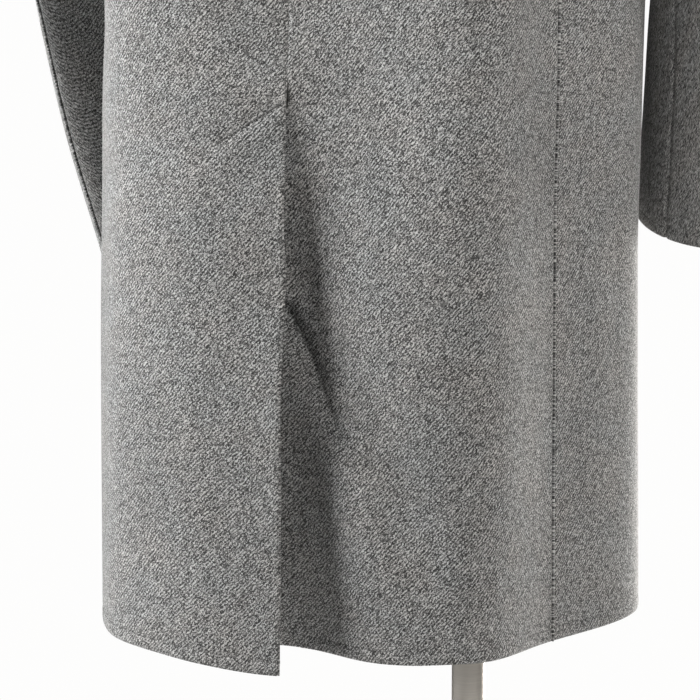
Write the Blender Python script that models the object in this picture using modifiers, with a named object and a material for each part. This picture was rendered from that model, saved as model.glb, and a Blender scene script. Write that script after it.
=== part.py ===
# Chesterfield coat with a centre-back vent, standing on a limbless dress form with a single pole.
# Units are metres, +Z is up, the coat faces -Y, the wearer's left is +X.
# The origin is the centre of the round base, on its underside.
import math

import bmesh
import bpy
import numpy as np

# Driving dimensions of the coat
CLOTH = 0.0024
SEAM_GAP = 0.0003
INNER_TRIM = 0.0009
LAP_GAP = 0.0016
HEM_Z = 0.512
COAT_LENGTH = 0.938
NECK_Z = HEM_Z + COAT_LENGTH
CHEST_Z = 1.19
VENT_LENGTH = 0.393
VENT_TOP = HEM_Z + VENT_LENGTH
VENT_UNDERLAP = 0.046
VENT_SLANT = 0.026
VENT_COLUMNS = 3
VENT_FLARE = 0.016
VENT_SINK = 0.013
SEAM_SHARE = 0.388
BREAK_Z = 1.08
FRONT_LAP = 0.022
NECK_HALF = 0.078
NECK_BACK_Y = 0.062
NECK_POINT_Z = NECK_Z + 0.003
LAPEL_WIDTH = 0.088
LAPEL_SPRING = 0.0016
COLLAR_STAND = 0.036
COLLAR_FALL = 0.048
BUTTON_RADIUS = 0.0125
BUTTON_THICKNESS = 0.005
BUTTON_PITCH = 0.13
FLAP_WIDTH = 0.14
FLAP_HEIGHT = 0.058
FLAP_SEAT = 0.0008
FLAP_TOP_Z = 0.905
FLAP_FROM_FRONT = 0.05

# Driving dimensions of the dress form and its stand
POLE_RADIUS = 0.0128
BASE_RADIUS = 0.19
BASE_THICKNESS = 0.012
BOSS_RADIUS = 0.028
BOSS_TOP = 0.05
SOCKET_DEPTH_Z = 0.008
TORSO_BOTTOM = 0.74
FLANGE_RADIUS = 0.045
FLANGE_THICKNESS = 0.008
FLANGE_SLEEVE_RADIUS = 0.02
FLANGE_DROP = 0.06
FORM_CLEARANCE = 0.0006

# The pole stands to the wearer's right of the coat's middle plane and a little in front of it
COAT_OFFSET = (0.071, 0.030, 0.0)

# Half sections of the body, one row for each height: across (x) and depth (y) of the stations
# that a tape passes from the centre back, over the blade and the back corner, to the centre front.
SECTION_COLUMNS = (
    "z", "back_y", "blade_x", "blade_y", "corner_x", "corner_y", "side_x", "side_y",
    "wide_x", "wide_y", "front_x", "front_y", "centre_y",
)
RIGHT_SECTIONS = (
    (0.50, 0.178, 0.074, 0.178, 0.132, 0.167, 0.166, 0.072, 0.202, -0.045, 0.150, -0.132, -0.165),
    (0.70, 0.178, 0.074, 0.178, 0.133, 0.167, 0.166, 0.072, 0.199, -0.044, 0.148, -0.129, -0.161),
    (0.90, 0.174, 0.074, 0.177, 0.134, 0.166, 0.167, 0.075, 0.198, -0.040, 0.147, -0.123, -0.154),
    (1.03, 0.165, 0.075, 0.170, 0.134, 0.155, 0.173, 0.074, 0.201, -0.030, 0.152, -0.115, -0.146),
    (1.19, 0.150, 0.080, 0.153, 0.140, 0.128, 0.180, 0.072, 0.199, -0.002, 0.152, -0.108, -0.136),
)
LEFT_SECTIONS = (
    (0.50, 0.178, 0.074, 0.177, 0.138, 0.153, 0.186, 0.085, 0.205, -0.025, 0.150, -0.132, -0.165),
    (0.70, 0.178, 0.073, 0.177, 0.136, 0.153, 0.184, 0.085, 0.202, -0.025, 0.148, -0.129, -0.161),
    (0.90, 0.174, 0.071, 0.176, 0.131, 0.154, 0.179, 0.087, 0.198, -0.022, 0.147, -0.123, -0.154),
    (1.03, 0.165, 0.074, 0.170, 0.134, 0.153, 0.180, 0.085, 0.200, -0.016, 0.152, -0.115, -0.146),
    (1.19, 0.150, 0.080, 0.153, 0.140, 0.128, 0.181, 0.072, 0.199, -0.002, 0.152, -0.108, -0.136),
)

# Largest folds of the body: a line from one end to the other in girth from the centre back
# (positive to the wearer's left) and height, its half width, and its depth (negative is a trough).
FOLD_COLUMNS = ("girth_0", "z_0", "girth_1", "z_1", "half_width", "depth")
FOLDS = (
    (0.016, 1.06, 0.010, 0.90, 0.042, -0.009),
    (-0.005, 0.775, -0.085, 0.635, 0.024, -0.006),
    (-0.095, 0.600, -0.130, 0.500, 0.024, -0.005),
    (-0.020, 0.690, -0.055, 0.600, 0.026, 0.005),
    (0.330, 0.760, 0.360, 0.500, 0.045, -0.006),
    (-0.410, 0.780, -0.440, 0.500, 0.045, -0.006),
    (-0.235, 1.130, -0.215, 0.980, 0.035, -0.006),
    (0.235, 1.130, 0.215, 0.980, 0.035, -0.006),
)

# Lift of the hem above its level, by girth from the centre back
HEM_LIFT = (
    (-0.62, 0.000), (-0.40, -0.002), (-0.25, -0.001), (-0.14, 0.005), (-0.06, 0.001),
    (0.00, -0.002), (0.10, -0.005), (0.22, -0.009), (0.34, -0.006), (0.62, 0.000),
)
VENT_CORNER_DROP = 0.006
HEM_LIFT_REACH = 0.22

# Rings of the sleeve, shoulder to cuff: centre of the ring, tilt of its plane from upright to level,
# forward pitch, half size outward and half size fore and aft.
SLEEVE_COLUMNS = ("x", "y", "z", "tilt", "pitch", "half_out", "half_fore")
SLEEVE_RINGS = (
    (0.2135, 0.000, 1.3000, 4.5, 0.0, 0.1050, 0.0720),
    (0.2400, 0.000, 1.2830, 20.0, 1.0, 0.0955, 0.0745),
    (0.2590, -0.002, 1.2540, 39.0, 2.0, 0.0810, 0.0745),
    (0.2675, -0.004, 1.2180, 63.0, 4.0, 0.0655, 0.0735),
    (0.2715, -0.008, 1.1780, 84.0, 7.0, 0.0600, 0.0715),
    (0.2700, -0.022, 1.1050, 91.0, 11.0, 0.0575, 0.0670),
    (0.2590, -0.046, 1.0250, 95.0, 15.0, 0.0560, 0.0615),
    (0.2480, -0.078, 0.9250, 97.0, 17.0, 0.0560, 0.0550),
    (0.2320, -0.120, 0.8000, 98.0, 18.0, 0.0565, 0.0500),
)
SLEEVE_STEPS = 15
LEFT_SLEEVE_DROP = 0.030
LEFT_SLEEVE_OUTWARD = 0.003
LEFT_SLEEVE_FLATTER = 0.020
ARMHOLE_SEAM_ANGLE = 138.0
HIND_ARM_COLUMN = 5
FORE_ARM_COLUMN = 10

# Columns and rows of the panels
BACK_NECK_COLUMNS = 4
BACK_SHOULDER_COLUMNS = 4
BACK_ARMHOLE_COLUMNS = 6
FRONT_ARMHOLE_COLUMNS = 10
FRONT_SHOULDER_COLUMNS = 5
YOKE_ROWS = 8
BACK_COLUMNS = BACK_NECK_COLUMNS + BACK_SHOULDER_COLUMNS + BACK_ARMHOLE_COLUMNS
FRONT_COLUMNS = FRONT_ARMHOLE_COLUMNS + FRONT_SHOULDER_COLUMNS
LOWER_ROWS = np.concatenate([
    np.linspace(HEM_Z, VENT_TOP - VENT_SLANT, 11),
    VENT_TOP + np.array([-0.5 * VENT_SLANT, 0.0, 0.02]),
    np.linspace(VENT_TOP + 0.055, CHEST_Z, 7),
])

# Rings of the torso from its underside to the neck's cap: height, half width, half depth, depth centre
TORSO_COLUMNS = ("z", "half_width", "half_depth", "centre_y")
TORSO_RINGS = (
    (0.740, 0.120, 0.075, -0.012),
    (0.752, 0.142, 0.092, -0.012),
    (0.800, 0.160, 0.106, -0.010),
    (0.870, 0.166, 0.110, -0.008),
    (0.950, 0.158, 0.102, -0.004),
    (1.040, 0.146, 0.092, 0.000),
    (1.130, 0.155, 0.100, 0.002),
    (1.220, 0.166, 0.108, 0.004),
    (1.290, 0.178, 0.100, 0.004),
    (1.340, 0.190, 0.080, 0.003),
    (1.375, 0.200, 0.050, 0.002),
)
SHOULDER_RINGS = 6
SHOULDER_HALF_DEPTH = (0.015, 0.010)
FORM_NECK = (
    (1.444, 0.071, 0.026, 0.000),
    (1.458, 0.060, 0.036, 0.000),
    (1.480, 0.056, 0.046, 0.000),
    (1.530, 0.055, 0.052, -0.001),
    (1.545, 0.050, 0.047, -0.001),
    (1.551, 0.034, 0.032, -0.001),
)
TORSO_SIDES = 28


# Curves and tables

def smooth(value):
    value = np.clip(value, 0.0, 1.0)
    return value * value * (3.0 - 2.0 * value)


def unit(vectors):
    return vectors / np.maximum(np.linalg.norm(vectors, axis=-1, keepdims=True), 1e-12)


def spline(knots, values, at):
    """Smooth curve through the rows of values, one row for each knot."""
    knots = np.asarray(knots, float)
    values = np.asarray(values, float)
    steps = np.diff(knots)
    slopes = np.diff(values, axis=0) / steps[:, None]
    weights = (steps[:-1] + steps[1:])[:, None]
    middle = (slopes[:-1] * steps[1:, None] + slopes[1:] * steps[:-1, None]) / weights
    slopes = np.vstack([slopes[:1], middle, slopes[-1:]])
    at = np.clip(np.atleast_1d(at), knots[0], knots[-1])
    i = np.clip(np.searchsorted(knots, at, side="right") - 1, 0, len(steps) - 1)
    t = ((at - knots[i]) / steps[i])[:, None]
    rise = 3.0 * t ** 2 - 2.0 * t ** 3
    lead = (t - 2.0 * t ** 2 + t ** 3) * steps[i][:, None]
    trail = (t ** 3 - t ** 2) * steps[i][:, None]
    return values[i] * (1.0 - rise) + values[i + 1] * rise + slopes[i] * lead + slopes[i + 1] * trail


def half_stations(table, z, side):
    """Stations of a half section at a height, centre back first; side is +1 on the wearer's left."""
    table = np.asarray(table)
    row = dict(zip(SECTION_COLUMNS[1:], spline(table[:, 0], table[:, 1:], z)[0]))
    stations = [(0.0, row["back_y"])]
    for name in ("blade", "corner", "side", "wide", "front"):
        stations.append((side * row[name + "_x"], row[name + "_y"]))
    stations.append((0.0, row["centre_y"]))
    return np.array(stations)


def ring(z):
    """Girths and points of the closed section at a height, carried past the centre front both ways."""
    right = half_stations(RIGHT_SECTIONS, z, -1)
    left = half_stations(LEFT_SECTIONS, z, 1)
    loop = np.vstack([right[::-1], left[1:]])
    wrapped = np.vstack([loop[-4:-1], loop, loop[1:4]])
    knots = np.concatenate([[0.0], np.cumsum(np.linalg.norm(np.diff(wrapped, axis=0), axis=1))])
    points = spline(knots, wrapped, np.linspace(knots[1], knots[-2], 700))
    girth = np.concatenate([[0.0], np.cumsum(np.linalg.norm(np.diff(points, axis=0), axis=1))])
    back = np.interp(knots[9], np.linspace(knots[1], knots[-2], 700), girth)
    ends = np.interp(knots[[3, -4]], np.linspace(knots[1], knots[-2], 700), girth) - back
    return girth - back, points, ends


RING_STORE = {}


def stored_ring(z):
    key = round(float(z), 6)
    if key not in RING_STORE:
        RING_STORE[key] = ring(key)
    return RING_STORE[key]


def half_girth(z, side):
    return abs(stored_ring(z)[2][1 if side > 0 else 0])


# The body's surface

def fold_depth(girth, z):
    """Troughs and ridges along the lines of the fold table, faded past both ends."""
    total = np.zeros_like(girth)
    for row in FOLDS:
        fold = dict(zip(FOLD_COLUMNS, row))
        run = np.array([fold["girth_1"] - fold["girth_0"], fold["z_1"] - fold["z_0"]])
        length = np.linalg.norm(run)
        run = run / length
        along = (girth - fold["girth_0"]) * run[0] + (z - fold["z_0"]) * run[1]
        across = (girth - fold["girth_0"]) * run[1] - (z - fold["z_0"]) * run[0]
        past = np.maximum(np.maximum(-along, along - length), 0.0)
        half = fold["half_width"]
        total = total + fold["depth"] * np.exp(-(across / half) ** 2 - (past / (1.5 * half)) ** 2)
    return total


def lap_lift(panel, girth, z):
    """How far a panel stands out or in where it laps its neighbour at the vent or the front."""
    half_lap = 0.5 * (CLOTH + LAP_GAP)
    step = smooth((VENT_TOP + 0.02 - z) / 0.02)
    hang = np.clip((VENT_TOP - z) / VENT_LENGTH, 0.0, 1.0) ** 1.4
    if panel == "back_left":
        near = 1.0 - smooth((girth - VENT_UNDERLAP - 0.01) / 0.08)
        return (half_lap * step) * near + VENT_FLARE * hang * np.exp(-(girth / 0.12) ** 2)
    if panel == "back_right":
        near = 1.0 - smooth((-girth - 0.02) / 0.08)
        return -(half_lap * step) * near - VENT_SINK * hang * np.exp(-(np.minimum(girth, 0.0) / 0.10) ** 2)
    side = 1.0 if panel == "front_left" else -1.0
    before_centre = half_girth(z, side) - side * girth
    near = 1.0 - smooth((before_centre - 2.0 * FRONT_LAP) / 0.09)
    return side * half_lap * near * (1.0 - smooth((z - CHEST_Z) / 0.1))


def hem_lift(panel, girth, z):
    table = np.array(HEM_LIFT)
    lift = spline(table[:, 0], table[:, 1:], girth)[:, 0]
    if panel == "back_left":
        lift = lift - VENT_CORNER_DROP * np.exp(-(girth / 0.06) ** 2)
    return lift * np.clip(1.0 - (z - HEM_Z) / HEM_LIFT_REACH, 0.0, 1.0) ** 2


def body_points(panel, girth, z):
    """Points of a panel's outer face at one level, by girth from the centre back."""
    girths, section, _ = stored_ring(z)
    x = np.interp(girth, girths, section[:, 0])
    y = np.interp(girth, girths, section[:, 1])
    near = 0.004
    run = np.stack([
        np.interp(girth + near, girths, section[:, 0]) - np.interp(girth - near, girths, section[:, 0]),
        np.interp(girth + near, girths, section[:, 1]) - np.interp(girth - near, girths, section[:, 1]),
    ], axis=-1)
    run = unit(run)
    out = fold_depth(girth, z) + lap_lift(panel, girth, z)
    return np.stack([x - run[:, 1] * out, y + run[:, 0] * out, z + hem_lift(panel, girth, z)], axis=-1)


def body_normals(panel, girth, z):
    near = 0.006
    around = body_points(panel, girth + near, z) - body_points(panel, girth - near, z)
    upward = body_points(panel, girth, z + near) - body_points(panel, girth, z - near)
    return unit(np.cross(upward, around))


# Armhole, shoulder and neck

def sleeve_frame(row):
    """Centre and the outward and fore-and-aft half axes of a left sleeve ring."""
    values = dict(zip(SLEEVE_COLUMNS, row))
    tilt = math.radians(values["tilt"])
    pitch = math.radians(values["pitch"])
    centre = np.array([values["x"], values["y"], values["z"]])
    outward = np.array([math.sin(tilt), 0.0, math.cos(tilt)]) * values["half_out"]
    rearward = np.array([0.0, math.cos(pitch), -math.sin(pitch)]) * values["half_fore"]
    return centre, outward, rearward


def sleeve_loop(row, angles):
    """Points of a sleeve ring; angle 0 is the shoulder point, 90 the back, 180 the underarm."""
    centre, outward, rearward = sleeve_frame(row)
    turn = np.radians(angles)[:, None]
    return centre + np.cos(turn) * outward + np.sin(turn) * rearward


def back_armhole_angles():
    return np.linspace(0.0, 1.0, BACK_ARMHOLE_COLUMNS + 1) * ARMHOLE_SEAM_ANGLE


def front_armhole_angles():
    share = np.linspace(0.0, 1.0, FRONT_ARMHOLE_COLUMNS + 1)
    return ARMHOLE_SEAM_ANGLE + (360.0 - ARMHOLE_SEAM_ANGLE) * share


def shoulder_point(share):
    """Shoulder seam from the neck point (0) to the sleeve head (1), on the wearer's left."""
    share = np.atleast_1d(share)
    tip = sleeve_loop(SLEEVE_RINGS[0], np.array([0.0]))[0]
    start = np.array([NECK_HALF, 0.0, NECK_POINT_Z])
    return start + (tip - start) * share[:, None]


def neck_point(share):
    """Back neckline from the centre back (0) to the neck point (1), on the wearer's left."""
    turn = 0.5 * math.pi * np.atleast_1d(share)
    z = NECK_Z + (NECK_POINT_Z - NECK_Z) * np.atleast_1d(share)
    return np.stack([NECK_HALF * np.sin(turn), NECK_BACK_Y * np.cos(turn), z], axis=-1)


def back_top_edge():
    neck = neck_point(np.linspace(0.0, 1.0, BACK_NECK_COLUMNS + 1))
    shoulder = shoulder_point(np.linspace(0.0, 1.0, BACK_SHOULDER_COLUMNS + 1))
    armhole = sleeve_loop(SLEEVE_RINGS[0], back_armhole_angles())
    return np.vstack([neck, shoulder[1:], armhole[1:]])


def front_top_edge():
    armhole = sleeve_loop(SLEEVE_RINGS[0], front_armhole_angles())
    shoulder = shoulder_point(np.linspace(1.0, 0.0, FRONT_SHOULDER_COLUMNS + 1))
    return np.vstack([armhole, shoulder[1:]])


def top_tangents(edge, base, shoulder_columns, lead):
    """Direction in which each column of a panel reaches the top edge: level over the shoulder."""
    direct = unit(edge - base)
    level = unit(np.array([0.0, lead, 0.25])[None, :] + 0.0 * direct)
    weight = shoulder_columns[:, None]
    return unit(direct * (1.0 - weight) + level * weight)


def yoke_points(base, rise, edge, arrive):
    """Rows of a panel above the chest, each column a curve from the chest ring to the top edge."""
    length = np.linalg.norm(edge - base, axis=1)[:, None]
    rows = []
    for t in np.linspace(0.0, 1.0, YOKE_ROWS + 1)[1:]:
        blend = 3.0 * t ** 2 - 2.0 * t ** 3
        lead = (t - 2.0 * t ** 2 + t ** 3) * length
        trail = (t ** 3 - t ** 2) * length
        rows.append(base * (1.0 - blend) + edge * blend + rise * lead + arrive * trail)
    return np.array(rows)


def grid_normals(points, outside):
    """Normals of a grid of points, turned to the side on which the reference directions lie."""
    down = np.gradient(points, axis=0)
    over = np.gradient(points, axis=1)
    normals = unit(np.cross(down, over))
    flip = np.sign(np.sum(normals * outside, axis=-1, keepdims=True))
    return normals * np.where(flip == 0.0, 1.0, flip)


# Panels of the body

def panel_girths(panel, z, columns):
    """Girths of a panel's columns at a level, from its first seam to its last edge."""
    side = 1.0 if panel.endswith("left") else -1.0
    seam = side * SEAM_SHARE * half_girth(z, side)
    if panel.startswith("back"):
        return np.linspace(0.0, seam, columns + 1)
    roll = (NECK_HALF + FRONT_LAP) * np.clip((z - BREAK_Z) / (NECK_POINT_Z - BREAK_Z), 0.0, 1.0)
    return np.linspace(seam, side * (half_girth(z, side) + FRONT_LAP - roll), columns + 1)


def mirrored(points, side):
    return points * np.array([side, 1.0, 1.0])


def body_panel(panel):
    """Outer points and normals of a body panel, hem to top edge."""
    side = 1.0 if panel.endswith("left") else -1.0
    is_back = panel.startswith("back")
    columns = BACK_COLUMNS if is_back else FRONT_COLUMNS
    points = []
    normals = []
    for z in LOWER_ROWS:
        girths = panel_girths(panel, z, columns)
        points.append(body_points(panel, girths, z))
        normals.append(body_normals(panel, girths, z))
    base = points[-1]
    girths = panel_girths(panel, CHEST_Z, columns)
    rise = unit(base - body_points(panel, girths, CHEST_Z - 0.02))
    edge = mirrored(back_top_edge() if is_back else front_top_edge(), side)
    index = np.arange(columns + 1)
    if is_back:
        start = BACK_NECK_COLUMNS
        stop = BACK_NECK_COLUMNS + BACK_SHOULDER_COLUMNS
        weight = smooth((index + 2.0) / (start + 2.0)) * (1.0 - smooth((index - stop) / 4.0))
    else:
        weight = smooth((index - FRONT_ARMHOLE_COLUMNS + 4.0) / 4.0)
    arrive = top_tangents(edge, base, weight, -1.0 if is_back else 1.0)
    yoke = yoke_points(base, rise, edge, arrive)
    points = np.concatenate([np.array(points), yoke])
    outside = points - np.array([0.0, 0.0, 1.15])
    outside = outside * np.array([1.0, 1.0, 0.35])
    all_normals = grid_normals(points, outside)
    all_normals[:len(LOWER_ROWS)] = np.array(normals)
    if is_back:
        seam_columns = slice(BACK_NECK_COLUMNS, BACK_NECK_COLUMNS + BACK_SHOULDER_COLUMNS + 1)
        all_normals[len(LOWER_ROWS):, 0, 0] = 0.0
    else:
        seam_columns = slice(FRONT_ARMHOLE_COLUMNS, columns + 1)
    run = unit(edge[-1 if not is_back else BACK_NECK_COLUMNS] - sleeve_tip(side))
    over = unit(np.cross(run, np.array([0.0, 1.0, 0.0])))
    all_normals[-1, seam_columns] = over * np.sign(over[2])
    side_column = -1 if is_back else 0
    all_normals[len(LOWER_ROWS):, side_column] = normals[-1][side_column]
    return points, unit(all_normals)


def vent_underlap():
    """Outer points and normals of the right back's underlap, from its free edge to the centre back."""
    girths = np.linspace(VENT_UNDERLAP, 0.0, VENT_COLUMNS + 1)[:-1]
    points = []
    normals = []
    for z in LOWER_ROWS[LOWER_ROWS <= VENT_TOP + 1e-6]:
        row = body_points("back_right", girths, z)
        near_top = np.clip(1.0 - (VENT_TOP - z) / 0.12, 0.0, 1.0)
        row[:, 2] -= VENT_SLANT * near_top * girths / VENT_UNDERLAP
        points.append(row)
        normals.append(body_normals("back_right", girths, z))
    return np.array(points), np.array(normals)


def sleeve_tip(side):
    return mirrored(sleeve_loop(SLEEVE_RINGS[0], np.array([0.0])), side)[0]


# Walls of cloth

def trimmed(grid, borders, distance):
    """Borders of a grid drawn in from a neighbour by a distance."""
    grid = grid.copy()
    if "first_row" in borders:
        grid[0] += unit(grid[1] - grid[0]) * distance
    if "last_row" in borders:
        grid[-1] += unit(grid[-2] - grid[-1]) * distance
    if "first_column" in borders:
        grid[:, 0] += unit(grid[:, 1] - grid[:, 0]) * distance
    if "last_column" in borders:
        grid[:, -1] += unit(grid[:, -2] - grid[:, -1]) * distance
    return grid


def cloth_wall(name, outer, inner, material, parent):
    """Closed wall between an outer and an inner grid; a cell with a missing (nan) corner is left out."""
    mesh = bpy.data.meshes.new(name)
    shape = bmesh.new()
    rows, columns = outer.shape[:2]
    there = ~np.isnan(outer[..., 0])
    layers = []
    for layer in (outer, inner):
        layers.append({(i, j): shape.verts.new(layer[i, j]) for i, j in np.argwhere(there)})
    rim = {}
    for i in range(rows - 1):
        for j in range(columns - 1):
            cell = [(i, j), (i, j + 1), (i + 1, j + 1), (i + 1, j)]
            if not all(there[corner] for corner in cell):
                continue
            for layer in layers:
                shape.faces.new([layer[corner] for corner in cell])
            for edge in zip(cell, cell[1:] + cell[:1]):
                rim[frozenset(edge)] = None if frozenset(edge) in rim else edge
    for edge in rim.values():
        if edge is not None:
            a, b = edge
            shape.faces.new((layers[0][a], layers[0][b], layers[1][b], layers[1][a]))
    bmesh.ops.recalc_face_normals(shape, faces=shape.faces)
    shape.to_mesh(mesh)
    shape.free()
    return finished(name, mesh, material, parent)


def finished(name, mesh, material, parent):
    mesh.shade_smooth()
    mesh.set_sharp_from_angle(angle=math.radians(40.0))
    mesh.materials.append(material)
    piece = bpy.data.objects.new(name, mesh)
    piece.parent = parent
    COAT_COLLECTION.objects.link(piece)
    return piece


def sewn_wall(name, points, normals, seams, material, parent):
    """Wall of cloth under a grid of outer points, drawn in at its seams."""
    outer = trimmed(points, seams, 0.5 * SEAM_GAP)
    inner = trimmed(points - normals * CLOTH, seams, INNER_TRIM)
    if name == "back_right":
        outer, inner = with_underlap(outer, inner)
    return cloth_wall(name, outer, inner, material, parent)


def with_underlap(outer, inner):
    """The right back's walls with the vent's underlap before the centre-back column."""
    points, normals = vent_underlap()
    layers = []
    for layer, extra in ((outer, points), (inner, points - normals * CLOTH)):
        added = np.full((len(layer), VENT_COLUMNS, 3), np.nan)
        added[:len(extra)] = extra
        layers.append(np.concatenate([added, layer], axis=1))
    return layers


def sampled(grid, rows, columns):
    """Points between those of a grid, at fractional rows and columns."""
    rows = np.clip(rows, 0.0, grid.shape[0] - 1.001)
    columns = np.clip(columns, 0.0, grid.shape[1] - 1.001)
    i = np.floor(rows).astype(int)
    j = np.floor(columns).astype(int)
    a = (rows - i)[..., None]
    b = (columns - j)[..., None]
    low = grid[i, j] * (1.0 - b) + grid[i, j + 1] * b
    high = grid[i + 1, j] * (1.0 - b) + grid[i + 1, j + 1] * b
    return low * (1.0 - a) + high * a


# Scene, materials and collections

for old in list(bpy.data.objects):
    bpy.data.objects.remove(old, do_unlink=True)

COAT_COLLECTION = bpy.data.collections.new("chesterfield_coat_on_dress_form")
bpy.context.scene.collection.children.link(COAT_COLLECTION)


def material(name, colour, roughness, metallic=0.0):
    made = bpy.data.materials.new(name)
    made.use_nodes = True
    shader = made.node_tree.nodes["Principled BSDF"]
    shader.inputs["Base Color"].default_value = (*colour, 1.0)
    shader.inputs["Roughness"].default_value = roughness
    shader.inputs["Metallic"].default_value = metallic
    made.diffuse_color = (*colour, 1.0)
    return made


WOOL = material("grey wool twill", (0.22, 0.22, 0.215), 0.95)
HORN = material("dark horn", (0.035, 0.030, 0.027), 0.4)
JERSEY = material("pale form cover", (0.70, 0.67, 0.62), 0.9)
STEEL = material("satin steel", (0.72, 0.69, 0.64), 0.35, 1.0)

coat_frame = bpy.data.objects.new("coat_frame", None)
coat_frame.location = COAT_OFFSET
COAT_COLLECTION.objects.link(coat_frame)


# Backs and fronts

PANELS = {}
for panel_name in ("back_left", "back_right", "front_left", "front_right"):
    PANELS[panel_name] = body_panel(panel_name)
    seams = ("first_column", "last_column", "last_row")
    sewn_wall(panel_name, *PANELS[panel_name], seams, WOOL, coat_frame)


# Sleeves

def sleeve_grid(askew):
    """Outer points and normals of a left-hand sleeve; askew 1 hangs lower, flatter and further out."""
    angles = np.concatenate([back_armhole_angles(), front_armhole_angles()[1:-1]])
    table = np.array(SLEEVE_RINGS)
    at = np.linspace(0.0, len(table) - 1.0, SLEEVE_STEPS + 1)
    rows = spline(np.arange(len(table)), table, at)
    hang = askew * smooth(np.linspace(-0.2, 1.0, len(rows)))
    rows[:, SLEEVE_COLUMNS.index("z")] -= LEFT_SLEEVE_DROP * hang
    rows[:, SLEEVE_COLUMNS.index("x")] += LEFT_SLEEVE_OUTWARD * smooth(2.0 * hang)
    rows[:, SLEEVE_COLUMNS.index("half_out")] -= LEFT_SLEEVE_FLATTER * smooth(2.0 * hang)
    rows[:, SLEEVE_COLUMNS.index("half_fore")] += 0.7 * LEFT_SLEEVE_FLATTER * smooth(2.0 * hang)
    points = np.array([sleeve_loop(row, angles) for row in rows])
    closed = np.concatenate([points[:, -1:], points, points[:, :1]], axis=1)
    down = np.gradient(points, axis=0)
    around = closed[:, 2:] - closed[:, :-2]
    normals = unit(np.cross(down, around))
    centres = points.mean(axis=1, keepdims=True)
    facing = np.sum(normals * (points - centres))
    return points, normals * np.sign(facing)


ring_columns = BACK_ARMHOLE_COLUMNS + FRONT_ARMHOLE_COLUMNS
under_columns = np.arange(HIND_ARM_COLUMN, FORE_ARM_COLUMN + 1)
top_columns = np.arange(FORE_ARM_COLUMN, ring_columns + HIND_ARM_COLUMN + 1) % ring_columns
for side_name, side, askew in (("left", 1.0, 1.0), ("right", -1.0, 0.0)):
    sleeve_points, sleeve_normals = sleeve_grid(askew)
    for part_name, chosen in (("top_sleeve", top_columns), ("under_sleeve", under_columns)):
        points = mirrored(sleeve_points[:, chosen], side)
        normals = mirrored(sleeve_normals[:, chosen], side)
        seams = ("first_column", "last_column", "first_row")
        sewn_wall(part_name + "_" + side_name, points, normals, seams, WOOL, coat_frame)


# Lapels, turned back on the fronts along the roll line

def row_at(z):
    """Fractional row of the panels at a height below the chest."""
    return np.interp(z, LOWER_ROWS, np.arange(len(LOWER_ROWS)))


def lapel(side_name, start_z):
    points, normals = PANELS["front_" + side_name]
    first = row_at(start_z)
    last = len(LOWER_ROWS) - 1 + 0.70 * YOKE_ROWS
    rows = np.unique(np.concatenate([[first], np.arange(math.ceil(first), last), [last]]))
    zero = row_at(BREAK_Z)
    share = np.clip((rows - zero) / (last - zero), 0.0, 1.0)
    width = LAPEL_WIDTH * (0.10 + 0.90 * share ** 0.85)
    width = np.minimum(width, LAPEL_WIDTH)
    inset = np.linspace(0.0, 1.0, 5)
    edge = points.shape[1] - 1.0
    pitch = np.linalg.norm(np.diff(points[:, -6:], axis=1), axis=-1).mean(axis=1)
    pitch = np.interp(rows, np.arange(len(pitch)), pitch)
    at_columns = edge - (width / pitch)[:, None] * inset[None, :]
    at_rows = rows[:, None] + 0.0 * at_columns
    base = sampled(points, at_rows, at_columns)
    out = unit(sampled(normals, at_rows, at_columns))
    rise = SEAM_GAP + LAPEL_SPRING * np.sin(math.pi * inset ** 0.7) + 0.5 * LAP_GAP * inset
    rise = rise[None, :, None]
    inner = base + out * rise
    outer = base + out * (rise + CLOTH)
    cloth_wall("lapel_" + side_name, outer, inner, WOOL, coat_frame)


lapel("left", BREAK_Z + 0.01)
lapel("right", CHEST_Z + 0.005)


# Collar, one piece round the neck: a stand, a fold and a fall that spreads over the shoulders

def collar_stations():
    """Neckline points, the cloth below them and its normals, from the centre back to the left end."""
    back, back_normals = PANELS["back_left"]
    front, front_normals = PANELS["front_left"]
    top = back.shape[0] - 1.0
    stations = []
    for share in np.linspace(0.0, 1.0, 6):
        turn = 0.5 * math.pi * share ** 1.5
        reach = np.array([0.0, 0.5, 1.0]) * COLLAR_FALL
        row_length = np.linalg.norm(back[-1, 2] - back[-2, 2])
        column_length = np.linalg.norm(back[-1, BACK_NECK_COLUMNS + 2] - back[-1, BACK_NECK_COLUMNS + 1])
        rows = top - reach * math.cos(turn) / row_length
        columns = share * BACK_NECK_COLUMNS + reach * math.sin(turn) / column_length
        stations.append((sampled(back, rows, columns), unit(sampled(back_normals, rows, columns))))
    last = front.shape[1] - 1.0
    for drop in (0.35, 0.8, 1.2, 1.5):
        reach = np.array([0.0, 0.5, 1.0]) * COLLAR_FALL
        column_length = np.linalg.norm(front[-2, -1] - front[-2, -2])
        rows = np.full(3, front.shape[0] - 1.0 - drop)
        columns = last - reach / column_length
        stations.append((sampled(front, rows, columns), unit(sampled(front_normals, rows, columns))))
    return stations


def collar_profile(station, share):
    """Middle line of the collar's cloth at a station: up the stand, over the fold, down the fall."""
    base, out = station
    up = unit(out[0] * 0.15 + np.array([0.0, 0.0, 1.0]) * (1.0 - 0.5 * share) + out[0] * 0.6 * share)
    away = unit(base[2] - base[0])
    away = unit(away - up * np.dot(away, up))
    stand = COLLAR_STAND * (1.0 - 0.55 * share)
    foot = base[0] + up * (0.5 * CLOTH + 2.0 * SEAM_GAP) - away * 0.001
    return np.array([
        foot,
        foot + up * 0.55 * stand - away * 0.004,
        foot + up * 0.92 * stand - away * 0.003,
        foot + up * 1.00 * stand + away * 0.003,
        foot + up * 0.90 * stand + away * 0.009,
        base[1] + out[1] * (0.45 * stand + 0.002),
        base[2] + out[2] * (0.5 * CLOTH + 0.0022),
    ])


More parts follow.
